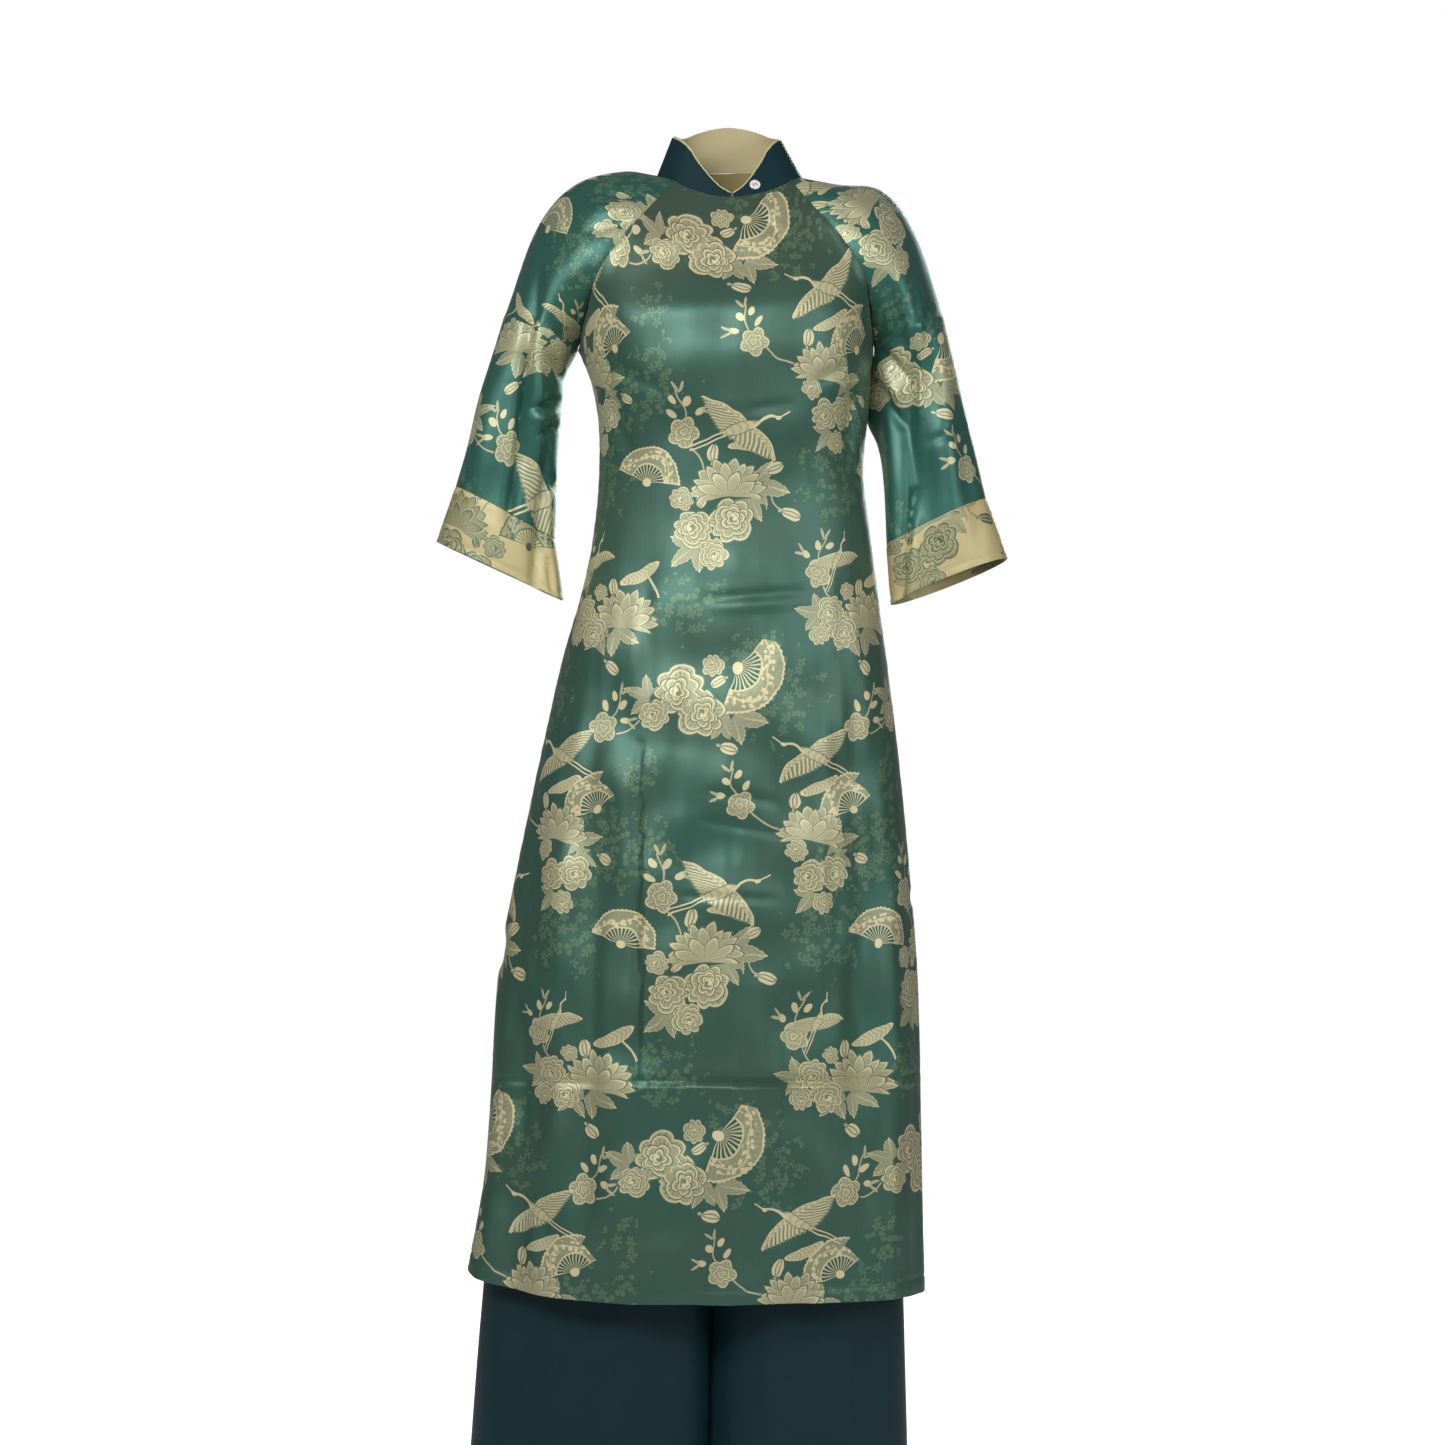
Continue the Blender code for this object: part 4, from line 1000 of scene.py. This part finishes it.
def sewing_thread(name, dark, light):
    """Spun thread: its plies show as a fine light and dark twist."""
    made, start = new_finish(name)
    here = start.node("ShaderNodeTexCoord", out="Object")
    plies = here.node("ShaderNodeTexNoise", inputs={"Vector": here, "Scale": 2500.0, "Detail": 1.0})
    here.node("ShaderNodeBsdfPrincipled",
              inputs={"Base Color": plies.between(dark, light), "Roughness": 0.55}).cover()
    return made


green_thread = sewing_thread("green thread", (0.030, 0.085, 0.060, 1), (0.055, 0.14, 0.10, 1))
gold_thread = sewing_thread("gold thread", (0.42, 0.35, 0.17, 1), (0.60, 0.52, 0.28, 1))

# Sleeves: cut to the neck seam, so that their upper part covers the shoulder, then a slim tube that
# widens to a loose end. The crown is the shoulder line, and each ring gives its inner and outer edge.
SLEEVE_COLUMNS = 100
SLEEVE_ROWS = 90
UNDERARM_GAP = 0.0006
Crown = namedtuple("Crown", "x z")
Ring = namedtuple("Ring", "inner_x inner_z outer_x outer_z depth back_drop inner_y")
CROWNS = {
    1: table(Crown, (
        (0.0745, 0.000), (0.112, -0.007), (0.158, -0.014), (0.193, -0.060), (0.223, -0.148),
    )),
    -1: table(Crown, (
        (0.0785, 0.003), (0.116, 0.007), (0.166, -0.008), (0.205, -0.054), (0.239, -0.148),
    )),
}
RINGS = {
    1: table(Ring, (
        (0.1490, -0.181, 0.223, -0.148, 0.061, 0.000, 0.000),
        (0.1460, -0.205, 0.232, -0.190, 0.057, 0.000, 0.022),
        (0.1475, -0.240, 0.240, -0.226, 0.054, 0.001, 0.030),
        (0.1575, -0.300, 0.254, -0.284, 0.050, 0.002, 0.012),
        (0.1620, -0.385, 0.266, -0.336, 0.043, 0.004, 0.000),
    )),
    -1: table(Ring, (
        (0.1620, -0.181, 0.239, -0.148, 0.061, 0.000, 0.000),
        (0.1720, -0.202, 0.250, -0.186, 0.057, 0.000, 0.000),
        (0.1760, -0.232, 0.261, -0.222, 0.055, 0.000, 0.000),
        (0.1815, -0.290, 0.275, -0.276, 0.050, 0.001, 0.000),
        (0.1850, -0.378, 0.289, -0.323, 0.043, 0.001, 0.000),
    )),
}
SLEEVE_FOLD_AT = {1: 0.21, -1: 0.13}
SLEEVE_FOLD_WIDTH = 0.055
SLEEVE_FOLD_DEPTH = 0.011
# How steeply the rows over the shoulder leave their seams, and how far that swings forward by the armpit
SEAM_SLOPE = 1.1
SEAM_SWING = (0.0, -0.045, 0.0)
SLEEVE_CREASES = {
    1: table(Crease, (
        (0.1935, -0.119, 0.1945, -0.252, 0.0022, 0.0030), (0.181, -0.185, 0.187, -0.350, 0.0080, -0.0070),
        (0.212, -0.150, 0.228, -0.340, 0.0140, 0.0034), (0.163, -0.230, 0.170, -0.400, 0.0070, 0.0050),
        (0.189, -0.330, 0.173, -0.450, 0.0044, -0.0080), (0.236, -0.230, 0.252, -0.380, 0.0100, -0.0034),
        (0.150, -0.182, 0.178, -0.214, 0.0046, -0.0085), (0.150, -0.200, 0.180, -0.238, 0.0050, 0.0046),
        (0.152, -0.216, 0.176, -0.262, 0.0044, -0.0070), (0.112, -0.040, 0.150, -0.070, 0.0100, -0.0030),
        (0.206, -0.280, 0.252, -0.262, 0.0050, -0.0024), (0.158, -0.120, 0.176, -0.190, 0.0080, -0.0060),
    )),
    -1: table(Crease, (
        (-0.200, -0.105, -0.212, -0.205, 0.0070, -0.0085),
        (-0.212, -0.195, -0.218, -0.300, 0.0062, -0.0120),
        (-0.218, -0.285, -0.229, -0.372, 0.0060, -0.0085),
        (-0.198, -0.165, -0.203, -0.330, 0.0064, 0.0072),
        (-0.221, -0.200, -0.229, -0.385, 0.0120, -0.0052),
        (-0.206, -0.247, -0.181, -0.234, 0.0036, -0.0070),
        (-0.203, -0.258, -0.183, -0.247, 0.0040, 0.0046),
        (-0.200, -0.272, -0.180, -0.260, 0.0036, -0.0070),
        (-0.199, -0.300, -0.184, -0.324, 0.0048, -0.0080),
        (-0.250, -0.170, -0.266, -0.320, 0.0140, 0.0034),
        (-0.234, -0.225, -0.248, -0.350, 0.0100, -0.0034),
        (-0.100, -0.028, -0.150, -0.018, 0.0060, -0.0050),
        (-0.096, -0.042, -0.160, -0.042, 0.0080, 0.0034),
        (-0.104, -0.056, -0.150, -0.066, 0.0060, -0.0040),
        (-0.196, -0.325, -0.205, -0.430, 0.0050, -0.0070),
        (-0.192, -0.400, -0.186, -0.436, 0.0030, -0.0050),
        (-0.186, -0.190, -0.176, -0.212, 0.0040, -0.0060),
    )),
}
# The sleeve at +X is tucked a little behind the body's side below the armpit.
Tuck = namedtuple("Tuck", "x z height depth")
TUCK = Tuck(0.150, -0.232, 0.036, 0.007)
SLEEVE_BACK_CREASES = {
    side: [
        Crease(side * 0.200, -0.110, side * 0.212, -0.260, 0.012, -0.0036),
        Crease(side * 0.214, -0.250, side * 0.236, -0.400, 0.012, 0.0034),
        Crease(side * 0.176, -0.200, side * 0.196, -0.224, 0.0060, -0.0030),
        Crease(side * 0.176, -0.240, side * 0.206, -0.270, 0.0060, -0.0030),
        Crease(side * 0.188, -0.300, side * 0.200, -0.440, 0.0080, -0.0036),
    ]
    for side in (1, -1)
}


def arc_through(knots, start_slope, end_slope, columns):
    """Smooth open curve through a few points, with its first and last slopes given."""
    values = np.array(knots, float)
    slopes = np.gradient(values, axis=0)
    slopes[0], slopes[-1] = start_slope, end_slope
    at = np.linspace(0, len(knots) - 1, columns + 1)
    i = np.minimum(at.astype(int), len(knots) - 2)
    return between_knots((at - i)[:, None], 1, values[i], values[i + 1], slopes[i], slopes[i + 1])


def ring_points(ring, columns, fold, fold_at):
    """One closed ring of a sleeve, from the underarm round the front and over the outer side."""
    share = np.linspace(0, 1, columns + 1)
    turn = 2 * math.pi * share
    dent = bell(share - fold_at, fold, SLEEVE_FOLD_WIDTH)
    half_x, half_z = (ring.outer_x - ring.inner_x) / 2, (ring.outer_z - ring.inner_z) / 2
    x = (ring.inner_x + ring.outer_x) / 2 - half_x * np.cos(turn)
    y = -(ring.depth - dent) * np.sin(turn) + ring.inner_y * (1 + np.cos(turn)) / 2
    z = (ring.inner_z + ring.outer_z) / 2 - half_z * np.cos(turn) + ring.back_drop * np.sin(turn)
    return np.stack([x, y, z], axis=1)


def sleeve_form(side):
    """Outer points of a sleeve: the open yoke over the shoulder, then closed rings to the cuff seam."""
    last = len(CROWNS[side]) - 1
    rows = []
    for k in np.linspace(0, last, YOKE_ROWS + 1)[:-1]:
        front, back = Yoke(*curve_through(FRONT_YOKE, k)), Yoke(*curve_through(BACK_YOKE, k))
        crown = Crown(*curve_through(CROWNS[side], k))
        widen = right_seam_scale(k) if side < 0 else 1.0
        knots = [
            (front.seam_x * widen, front.seam_y, front.seam_z),
            (front.blade_x * widen, front.blade_y, front.blade_z),
            (crown.x, 0.003, crown.z),
            (back.blade_x * widen, back.blade_y, back.blade_z),
            (back.seam_x * widen, back.seam_y, back.seam_z),
        ]
        swing = np.array(SEAM_SWING) * (k / last) ** 2
        start = np.subtract(knots[1], knots[0]) * SEAM_SLOPE + swing
        end = np.subtract(knots[4], knots[3]) * SEAM_SLOPE + swing
        rows.append(arc_through(knots, start, end, SLEEVE_COLUMNS))
    places = [ring.inner_z for ring in RINGS[side]]
    for share in np.linspace(0, 1, SLEEVE_ROWS + 1):
        ring = Ring(*curve_through(RINGS[side], places[0] + (places[-1] - places[0]) * share, places))
        fold = SLEEVE_FOLD_DEPTH * smoothstep(0.15, 0.8, share)
        rows.append(ring_points(ring, SLEEVE_COLUMNS, fold, SLEEVE_FOLD_AT[side]))
    grid = np.array(rows)
    grid[:, :, 0] *= side
    return grid


def creased_sleeve(form, out, side):
    """Presses a side's sleeve creases into the front and the back of a sleeve or its cuff."""
    grid = creased(form, out, SLEEVE_CREASES[side], -1, SLEEVE_BILLOW)
    return creased(grid, out, SLEEVE_BACK_CREASES[side], 1, billow=0.0)


front_form, back_form = body_panel(True, FRONT_COLUMNS), body_panel(False, BACK_COLUMNS)
sleeve_forms = {side: sleeve_form(side) for side in SIDES}
front_out = outward(front_form, normals_of(front_form, False), np.array((0, 0.05, -0.5)))
back_out = outward(back_form, normals_of(back_form, False), np.array((0, -0.05, -0.5)))
sleeve_out = {}
for side, grid in sleeve_forms.items():
    own = normals_of(grid, False)
    own[YOKE_ROWS + 1 :] = normals_of(grid[YOKE_ROWS:], True)[1:]
    sleeve_out[side] = outward(grid, own, np.array((side * 0.195, 0, -0.28)))

yoke = slice(0, YOKE_ROWS)
slit_row = YOKE_ROWS + round(BODY_ROWS * (SLIT_TOP - BODY[0].z) / (BODY[-1].z - BODY[0].z))
side_seam = slice(YOKE_ROWS, slit_row + 1)
joined = 1 - smoothstep(0.45, 0.9, np.arange(YOKE_ROWS) / YOKE_ROWS)[:, None]
for side, column in ((1, -1), (-1, 0)):
    share_normals(front_out[yoke, column], sleeve_out[side][yoke, 0], joined)
    share_normals(back_out[yoke, column], sleeve_out[side][yoke, -1], joined)
    share_normals(front_out[side_seam, column], back_out[side_seam, column], 1.0)
seamed = slice(0, slit_row + 1)
for grid in (front_form, back_form):
    draw_in(grid, seamed, 0, 1, SEAM_GAP / 2)
    draw_in(grid, seamed, -1, -2, SEAM_GAP / 2)
for side, grid in sleeve_forms.items():
    draw_in(grid, yoke, 0, 1, SEAM_GAP / 2)
    draw_in(grid, yoke, -1, -2, SEAM_GAP / 2)
    grid[YOKE_ROWS, [0, -1]] += (side * UNDERARM_GAP, 0, -UNDERARM_GAP)

for name, form, out, creases, facing, middle, cut in (
    ("front_panel", front_form, front_out, FRONT_CREASES, -1, FRONT_COLUMNS // 2, FRONT_CUT),
    ("back_panel", back_form, back_out, BACK_CREASES, 1, BACK_COLUMNS // 2, BACK_CUT),
):
    place = cloth_place(form, middle, PATTERN_SHIFTS[name])
    grid = sewn(creased(form, out, creases, facing, snug=SNUG), out, place, slit_row, HEM_DEPTH)
    shell(name, grid, out, place, BODY_CLOTH)
    stitches(f"{name}_hem_stitches", grid, out, line_above_foot(grid, HEM_DEPTH), green_thread)
for side, word in SIDES.items():
    form, out = sleeve_forms[side], sleeve_out[side]
    grid = creased_sleeve(form, out, side)
    if side > 0:
        level = np.exp(-(((grid[:, :, 2] - TUCK.z) / TUCK.height) ** 4))
        near = smoothstep(TUCK.x + 0.022, TUCK.x, grid[:, :, 0]) * smoothstep(0.0, 0.018, grid[:, :, 1])
        grid[:, :, 0] -= TUCK.depth * level * near
    place = cloth_place(form, SLEEVE_COLUMNS // 2, PATTERN_SHIFTS[f"{word}_sleeve"])
    grid = sewn(grid, out, place, YOKE_ROWS)
    shell(f"{word}_sleeve", grid, out, place, SLEEVE_CLOTH, joined_from=YOKE_ROWS)

# ---- Cuffs ----
# A doubled band of the same brocade, sewn to each sleeve's end and turned up, so that the cloth's gold
# wrong side shows outside. A row of gold thread holds its lower edge.
CUFF_CLOTH = Cloth("brocade_reverse", 0.0022, brocade_reverse, brocade_reverse)
CUFF_ROWS = 30
CUFF_SHIFTS = {1: (0.086, 0.270), -1: (0.030, 0.235)}
CUFF_HEM = 0.0075
CUFF_SEAM_DIP = (0.0009, 0.0030)
CUFF_HEM_DIP = (0.0005, 0.0020)
CUFF_RIPPLE = 0.0004
CUFF_RIPPLE_SIZE = 0.012
CUFF_ENDS = {
    1: Ring(0.1665, -0.446, 0.288, -0.399, 0.040, 0.005, 0.000),
    -1: Ring(0.1770, -0.442, 0.309, -0.381, 0.040, 0.000, 0.000),
}
for side, word in SIDES.items():
    rows = []
    for share in np.linspace(0, 1, CUFF_ROWS + 1):
        ring = Ring(*((1 - share) * np.array(RINGS[side][-1]) + share * np.array(CUFF_ENDS[side])))
        rows.append(ring_points(ring, SLEEVE_COLUMNS, SLEEVE_FOLD_DEPTH, SLEEVE_FOLD_AT[side]))
    form = np.array(rows)
    form[:, :, 0] *= side
    out = outward(form, normals_of(form, True), form.mean(axis=(0, 1)))
    place = cloth_place(form, SLEEVE_COLUMNS // 2, CUFF_SHIFTS[side])
    form = creased_sleeve(form, out, side)
    form = form + out * (CUFF_CLOTH.thickness - SLEEVE_CLOTH.thickness) / 2
    down = lengths(form, 0)[:, :1]
    dip = bell(down, *CUFF_SEAM_DIP) + bell(down[-1:] - down - CUFF_HEM, *CUFF_HEM_DIP)
    dip = dip + CUFF_RIPPLE * noise_over(form, CUFF_RIPPLE_SIZE, 7)
    form = form - out * dip[:, :, None]
    first_step = form[1] - form[0]
    form[0] += first_step * (SEAM_GAP / np.linalg.norm(first_step, axis=-1, keepdims=True))
    shell(f"{word}_cuff", form, out, place, CUFF_CLOTH, joined_from=0)
    line = line_above_foot(form, CUFF_HEM)[:-1]
    stitches(f"{word}_cuff_stitches", form[:, :-1], out[:, :-1], line, gold_thread)

# ---- Collar ----
# Stand collar of teal satin over a gold facing that rolls out a little past its top edge. The front
# ends are cut away to a point, and a small white button is sewn to the end at +X.
Collar = namedtuple("Collar", "angle height")
COLLAR = table(Collar, ((1.5, 0.0035), (13, 0.0095), (34, 0.024), (55, 0.036), (75, 0.039), (180, 0.042)))
BAND_CLOTH = Cloth("teal_satin", 0.0010, teal_satin, teal_satin)
FACING_CLOTH = Cloth("brocade_reverse", 0.0010, gold_satin, gold_satin)
BAND_CUT = Cut(0.429, 0.047, 0.0143, "stretched")
FACING_CUT = Cut(0.422, 0.049, 0.0147, "stretched")
COLLAR_LEAN = 0.48
COLLAR_SHIFT = -0.085
FACING_PROUD = 0.0022
COLLAR_OPENING = 1.5
COLLAR_COLUMNS = 180
COLLAR_ROWS = 10


def on_neck(angle):
    """The point of the neck seam at an angle in degrees, from the middle of the front towards +X."""
    return np.array([np.interp(angle, neck_angles, neck_seam[:, axis]) for axis in range(3)])


def collar_point(angle, height):
    """A point of the collar's outer side, up the band from the neck seam, which leans inwards."""
    base = on_neck(angle)
    inwards = -np.array((base[0], base[1], 0.0))
    inwards /= np.linalg.norm(inwards)
    return base + np.array((COLLAR_SHIFT, 0, 1)) * height + inwards * height * COLLAR_LEAN


def collar_height(angle):
    folded = angle if angle <= 180 else 360 - angle
    return float(np.interp(folded, [c.angle for c in COLLAR], [c.height for c in COLLAR]))


neck_seam = np.concatenate([
    front_form[0, FRONT_COLUMNS // 2 :], sleeve_forms[1][0, 1:-1], back_form[0, ::-1],
    sleeve_forms[-1][0, -2:0:-1], front_form[0, : FRONT_COLUMNS // 2 + 1],
])
neck_angles = np.degrees(np.arctan2(neck_seam[:, 0], -neck_seam[:, 1])) % 360
neck_angles[0], neck_angles[-1] = 0.0, 360.0
collar_places = np.linspace(COLLAR_OPENING, 360 - COLLAR_OPENING, COLLAR_COLUMNS + 1)
for name, proud, depth, cloth, cut in (
    ("collar_band", 0.0, 0.0, BAND_CLOTH, BAND_CUT),
    ("collar_facing", FACING_PROUD, BAND_CLOTH.thickness + SEAM_GAP, FACING_CLOTH, FACING_CUT),
):
    form = np.array([
        [collar_point(a, SEAM_GAP + (collar_height(a) + proud) * share) for a in collar_places]
        for share in np.linspace(1, 0, COLLAR_ROWS + 1)
    ])
    out = outward(form, normals_of(form, False), form.mean(axis=(0, 1)))
    outer = form - out * depth
    shell(name, outer, out, cloth_place(outer, COLLAR_COLUMNS // 2), cloth)

# The button, of layered white shell, keeps its modelled shape. It is sewn on through its two holes with
# red thread, which shows as two short upright stitches that lie on its face.
BUTTON_ANGLE = 27.0
BUTTON_LIFT = 0.0095
BUTTON_FACE = 0.0022
THREAD_WAYS = (-0.0015, 0.0015)
THREAD_SIZE = 1.9
shell_white, start = new_finish("white shell")
here = start.node("ShaderNodeTexCoord", out="Object")
layers = here.node("ShaderNodeTexNoise",
                   inputs={"Vector": here, "Scale": 260.0, "Detail": 2.0, "Distortion": 1.5})
here.node("ShaderNodeBsdfPrincipled", inputs={
    "Base Color": layers.between((0.72, 0.70, 0.66, 1), (0.86, 0.86, 0.84, 1)),
    "Roughness": layers * 0.15 + 0.22,
}).cover()
bpy.data.objects["collar_button"].material_slots[0].material = shell_white

seat, beside, above = (collar_point(BUTTON_ANGLE + turn, BUTTON_LIFT + rise)
                       for turn, rise in ((0, 0), (4, 0), (0, 0.004)))
across = (beside - seat) / np.linalg.norm(beside - seat)
out = np.cross(across, above - seat)
out *= -np.sign(out[1]) / np.linalg.norm(out)
up = np.cross(out, across)
face = seat + out * BUTTON_FACE
red_thread = sewing_thread("red thread", (0.34, 0.035, 0.025, 1), (0.50, 0.075, 0.05, 1))
heights = STITCH_PITCH * THREAD_SIZE * np.linspace(-1, 1, 9)[:, None]
for number, way in enumerate(THREAD_WAYS, 1):
    upright = face + across * way + up * heights
    stitches(f"button_stitch_{number}", upright[None], np.broadcast_to(out, (1, 9, 3)), [0.0] * 9,
             red_thread, THREAD_SIZE)

# ---- Trousers ----
# Wide ankle-length trousers of the same teal satin: four panels, joined at the centre seams, the inseams
# and the side seams, and sewn to a doubled waistband that lies inside the tunic's waist.
LEG_CLOTH = Cloth("teal_satin", 0.0012, teal_satin, teal_satin)
WAISTBAND_CLOTH = Cloth("teal_satin", 0.0022, teal_satin, teal_satin)
LEG_COLUMNS = 56
LEG_ROWS = 120
Leg = namedtuple("Leg", "z left middle right front back inner")
LEGS = table(Leg, (
    (-0.3668, -0.1412, 0.000, 0.1415, -0.0925, 0.0852, 0),
    (-0.430, -0.1480, -0.001, 0.1440, -0.092, 0.090, 0),
    (-0.500, -0.1620, -0.003, 0.1520, -0.092, 0.100, 0),
    (-0.560, -0.1740, -0.005, 0.1580, -0.089, 0.100, -14),
    (-0.615, -0.1840, -0.007, 0.1620, -0.082, 0.094, -68),
    (-0.650, -0.1900, -0.008, 0.1640, -0.080, 0.090, -90),
    (-0.800, -0.2130, -0.012, 0.1680, -0.077, 0.085, -90),
    (-1.000, -0.2440, -0.018, 0.1730, -0.074, 0.082, -90),
    (-1.180, -0.2620, -0.021, 0.1790, -0.073, 0.080, -90),
    (-1.360, -0.2760, -0.023, 0.1840, -0.073, 0.080, -90),
))
# Gap between the legs at the crotch and at the hems, where their edges lap over each other
LEG_APART = (0.0006, -0.0050)
LEG_SIDE_GAP = SEAM_GAP / 15
LEG_BILLOW = 0.0014
LEG_FOLDS = table(Fold, ((0.30, 0.13, 0.005), (0.66, 0.12, -0.005)))
LEG_CREASES = [
    Crease(side * x0, -0.56, side * x1, -1.36, width, depth)
    for side in SIDES
    for x0, x1, width, depth in (
        (0.030, 0.034, 0.014, 0.0030), (0.066, 0.076, 0.018, -0.0034), (0.100, 0.118, 0.012, 0.0040),
        (0.128, 0.156, 0.014, -0.0034), (0.150, 0.190, 0.016, 0.0030), (0.170, 0.226, 0.014, -0.0030),
    )
]
WAISTBAND_TOP = -0.3280
WAISTBAND_BOTTOM = -0.3664
WAISTBAND_CLEARANCE = 0.0005


def leg_panel(side, front):
    """Outer points of one trouser panel, from its centre seam or inseam out to its side seam."""
    rows = []
    share = np.linspace(0, 1, LEG_COLUMNS + 1)
    for z in np.linspace(LEGS[0].z, LEGS[-1].z, LEG_ROWS + 1):
        leg = Leg(*curve_through(LEGS, z, [row.z for row in LEGS]))
        inner = math.radians(min(max(leg.inner, -90), 0))
        apart = LEG_APART[0] + (LEG_APART[1] - LEG_APART[0]) * smoothstep(-0.65, LEGS[-1].z, z)
        reach = abs((leg.right if side > 0 else leg.left) - leg.middle) - apart / 2
        half = reach / (1 - math.sin(inner))
        depth = leg.front if front else leg.back
        turn = inner + (math.pi / 2 - inner) * share
        swell = folds_at(LEG_FOLDS, share, z) * (1 - (2 * share - 1) ** 6)
        x = apart / 2 + half * (np.sin(turn) - math.sin(inner))
        y = depth * np.maximum(np.cos(turn), 0.0) ** FRONT_FLATNESS + math.copysign(1, depth) * swell
        rows.append(np.stack([leg.middle + side * x, y, np.full_like(x, z)], axis=1))
    return np.array(rows)


def tunic_ring(front, back, z):
    """A ring of points all round the tunic's outer side at one level between the waist and the hips."""
    at = YOKE_ROWS + BODY_ROWS * (z - BODY[0].z) / (BODY[-1].z - BODY[0].z)
    above, share = int(at), at - int(at)
    rows = [grid[above] * (1 - share) + grid[above + 1] * share for grid in (front, back)]
    sides = [(rows[0][end] + rows[1][end]) / 2 for end in (0, -1)]
    return np.array([sides[0], *rows[0][1:-1], sides[1], *rows[1][-2:0:-1], sides[0]])


levels = np.linspace(WAISTBAND_TOP, WAISTBAND_BOTTOM, 7)
form = np.array([tunic_ring(front_form, back_form, z) for z in levels])
out = np.array([tunic_ring(front_out, back_out, z) for z in levels])
out[:, :, 2] = 0
out /= np.linalg.norm(out, axis=2, keepdims=True)
form = form - out * (BODY_CLOTH.thickness + WAISTBAND_CLEARANCE)
shell("waistband", form, out, cloth_place(form, FRONT_COLUMNS // 2), WAISTBAND_CLOTH,
      joined_from=0)
for side, word in SIDES.items():
    forms = {place: leg_panel(side, place == "front") for place in ("front", "back")}
    outs = {
        place: outward(form, normals_of(form, False), np.array((side * 0.09, 0.0, -0.85)))
        for place, form in forms.items()
    }
    share_normals(outs["front"][:, -1], outs["back"][:, -1], 1.0)
    meets = (forms["front"][:, 0, 1] > -0.001)[:, None].astype(float)
    share_normals(outs["front"][:, 0], outs["back"][:, 0], meets)
    for place, form in forms.items():
        every = slice(0, len(form))
        draw_in(form, every, 0, 1, SEAM_GAP / 2)
        draw_in(form, every, -1, -2, LEG_SIDE_GAP)
        grid = creased(form, outs[place], LEG_CREASES, -1 if place == "front" else 1, LEG_BILLOW)
        shell(f"{word}_leg_{place}", grid, outs[place], cloth_place(form, LEG_COLUMNS // 2), LEG_CLOTH)

# ---- Studio ----
# A plain white floor and surround. One broad soft lamp lights the front from high up, a weaker one the
# side at +X, and one the back, and the surround adds a little light, most of it from ahead.
FLOOR_LEVEL = -1.3612
FLOOR_CORNERS = ((-9, -5), (9, -5), (9, 14), (-9, 14))
FLOOR_GLOW = 0.9
LAMP_SPREAD = 100
LIGHT_AHEAD = 0.16
LIGHT_ROUND = 0.09
Lamp = namedtuple("Lamp", "name place aim wide high energy")
LAMPS = table(Lamp, (
    ("front_lamp", (-0.75, -1.9, 0.50), (0, 0, -0.42), 2.3, 0.8, 14),
    ("side_lamp", (1.9, -1.9, 0.05), (0, 0, -0.5), 0.8, 0.8, 5),
    ("back_lamp", (0.7, 2.3, 0.30), (0, 0, -0.45), 1.2, 1.2, 13),
))

floor_data = bpy.data.meshes.new("floor")
floor_data.from_pydata([(x, y, FLOOR_LEVEL) for x, y in FLOOR_CORNERS], [], [(0, 1, 2, 3)])
floor = placed("floor", floor_data)
floor_finish = bpy.data.materials.new("white floor")
floor_finish.use_nodes = True
floor_shader = floor_finish.node_tree.nodes["Principled BSDF"]
floor_shader.inputs["Base Color"].default_value = (0.92, 0.92, 0.92, 1)
floor_shader.inputs["Roughness"].default_value = 0.9
glow = Shade(floor_finish.node_tree, None).node("ShaderNodeLightPath", out="Is Camera Ray") * FLOOR_GLOW
floor_finish.node_tree.links.new(glow.socket, floor_shader.inputs["Emission Color"])
floor_shader.inputs["Emission Strength"].default_value = 1.0
floor.data.materials.append(floor_finish)

surround = bpy.data.worlds.new("white surround")
bpy.context.scene.world = surround
surround.use_nodes = True
backdrop = surround.node_tree.nodes["Background"]
backdrop.inputs["Color"].default_value = (1, 1, 1, 1)
seen = Shade(surround.node_tree, None).node("ShaderNodeLightPath", out="Is Camera Ray")
_, depth, rise = seen.node("ShaderNodeTexCoord", out="Generated").parts()
ahead = (-depth).high(0.0) * (1.0 - abs(rise)) * LIGHT_AHEAD + LIGHT_ROUND
surround.node_tree.links.new(ahead.mix(1.0, seen).socket, backdrop.inputs["Strength"])
for lamp in LAMPS:
    light = placed(lamp.name, bpy.data.lights.new(lamp.name, "AREA"))
    light.data.energy = lamp.energy
    light.data.shape = "ELLIPSE"
    light.data.size = lamp.wide
    light.data.size_y = lamp.high
    light.location = lamp.place
    light.visible_camera = False
    light.data.spread = math.radians(LAMP_SPREAD)
    light.rotation_euler = (Vector(lamp.aim) - light.location).to_track_quat("-Z", "Y").to_euler()
bpy.context.scene.view_settings.view_transform = "Standard"
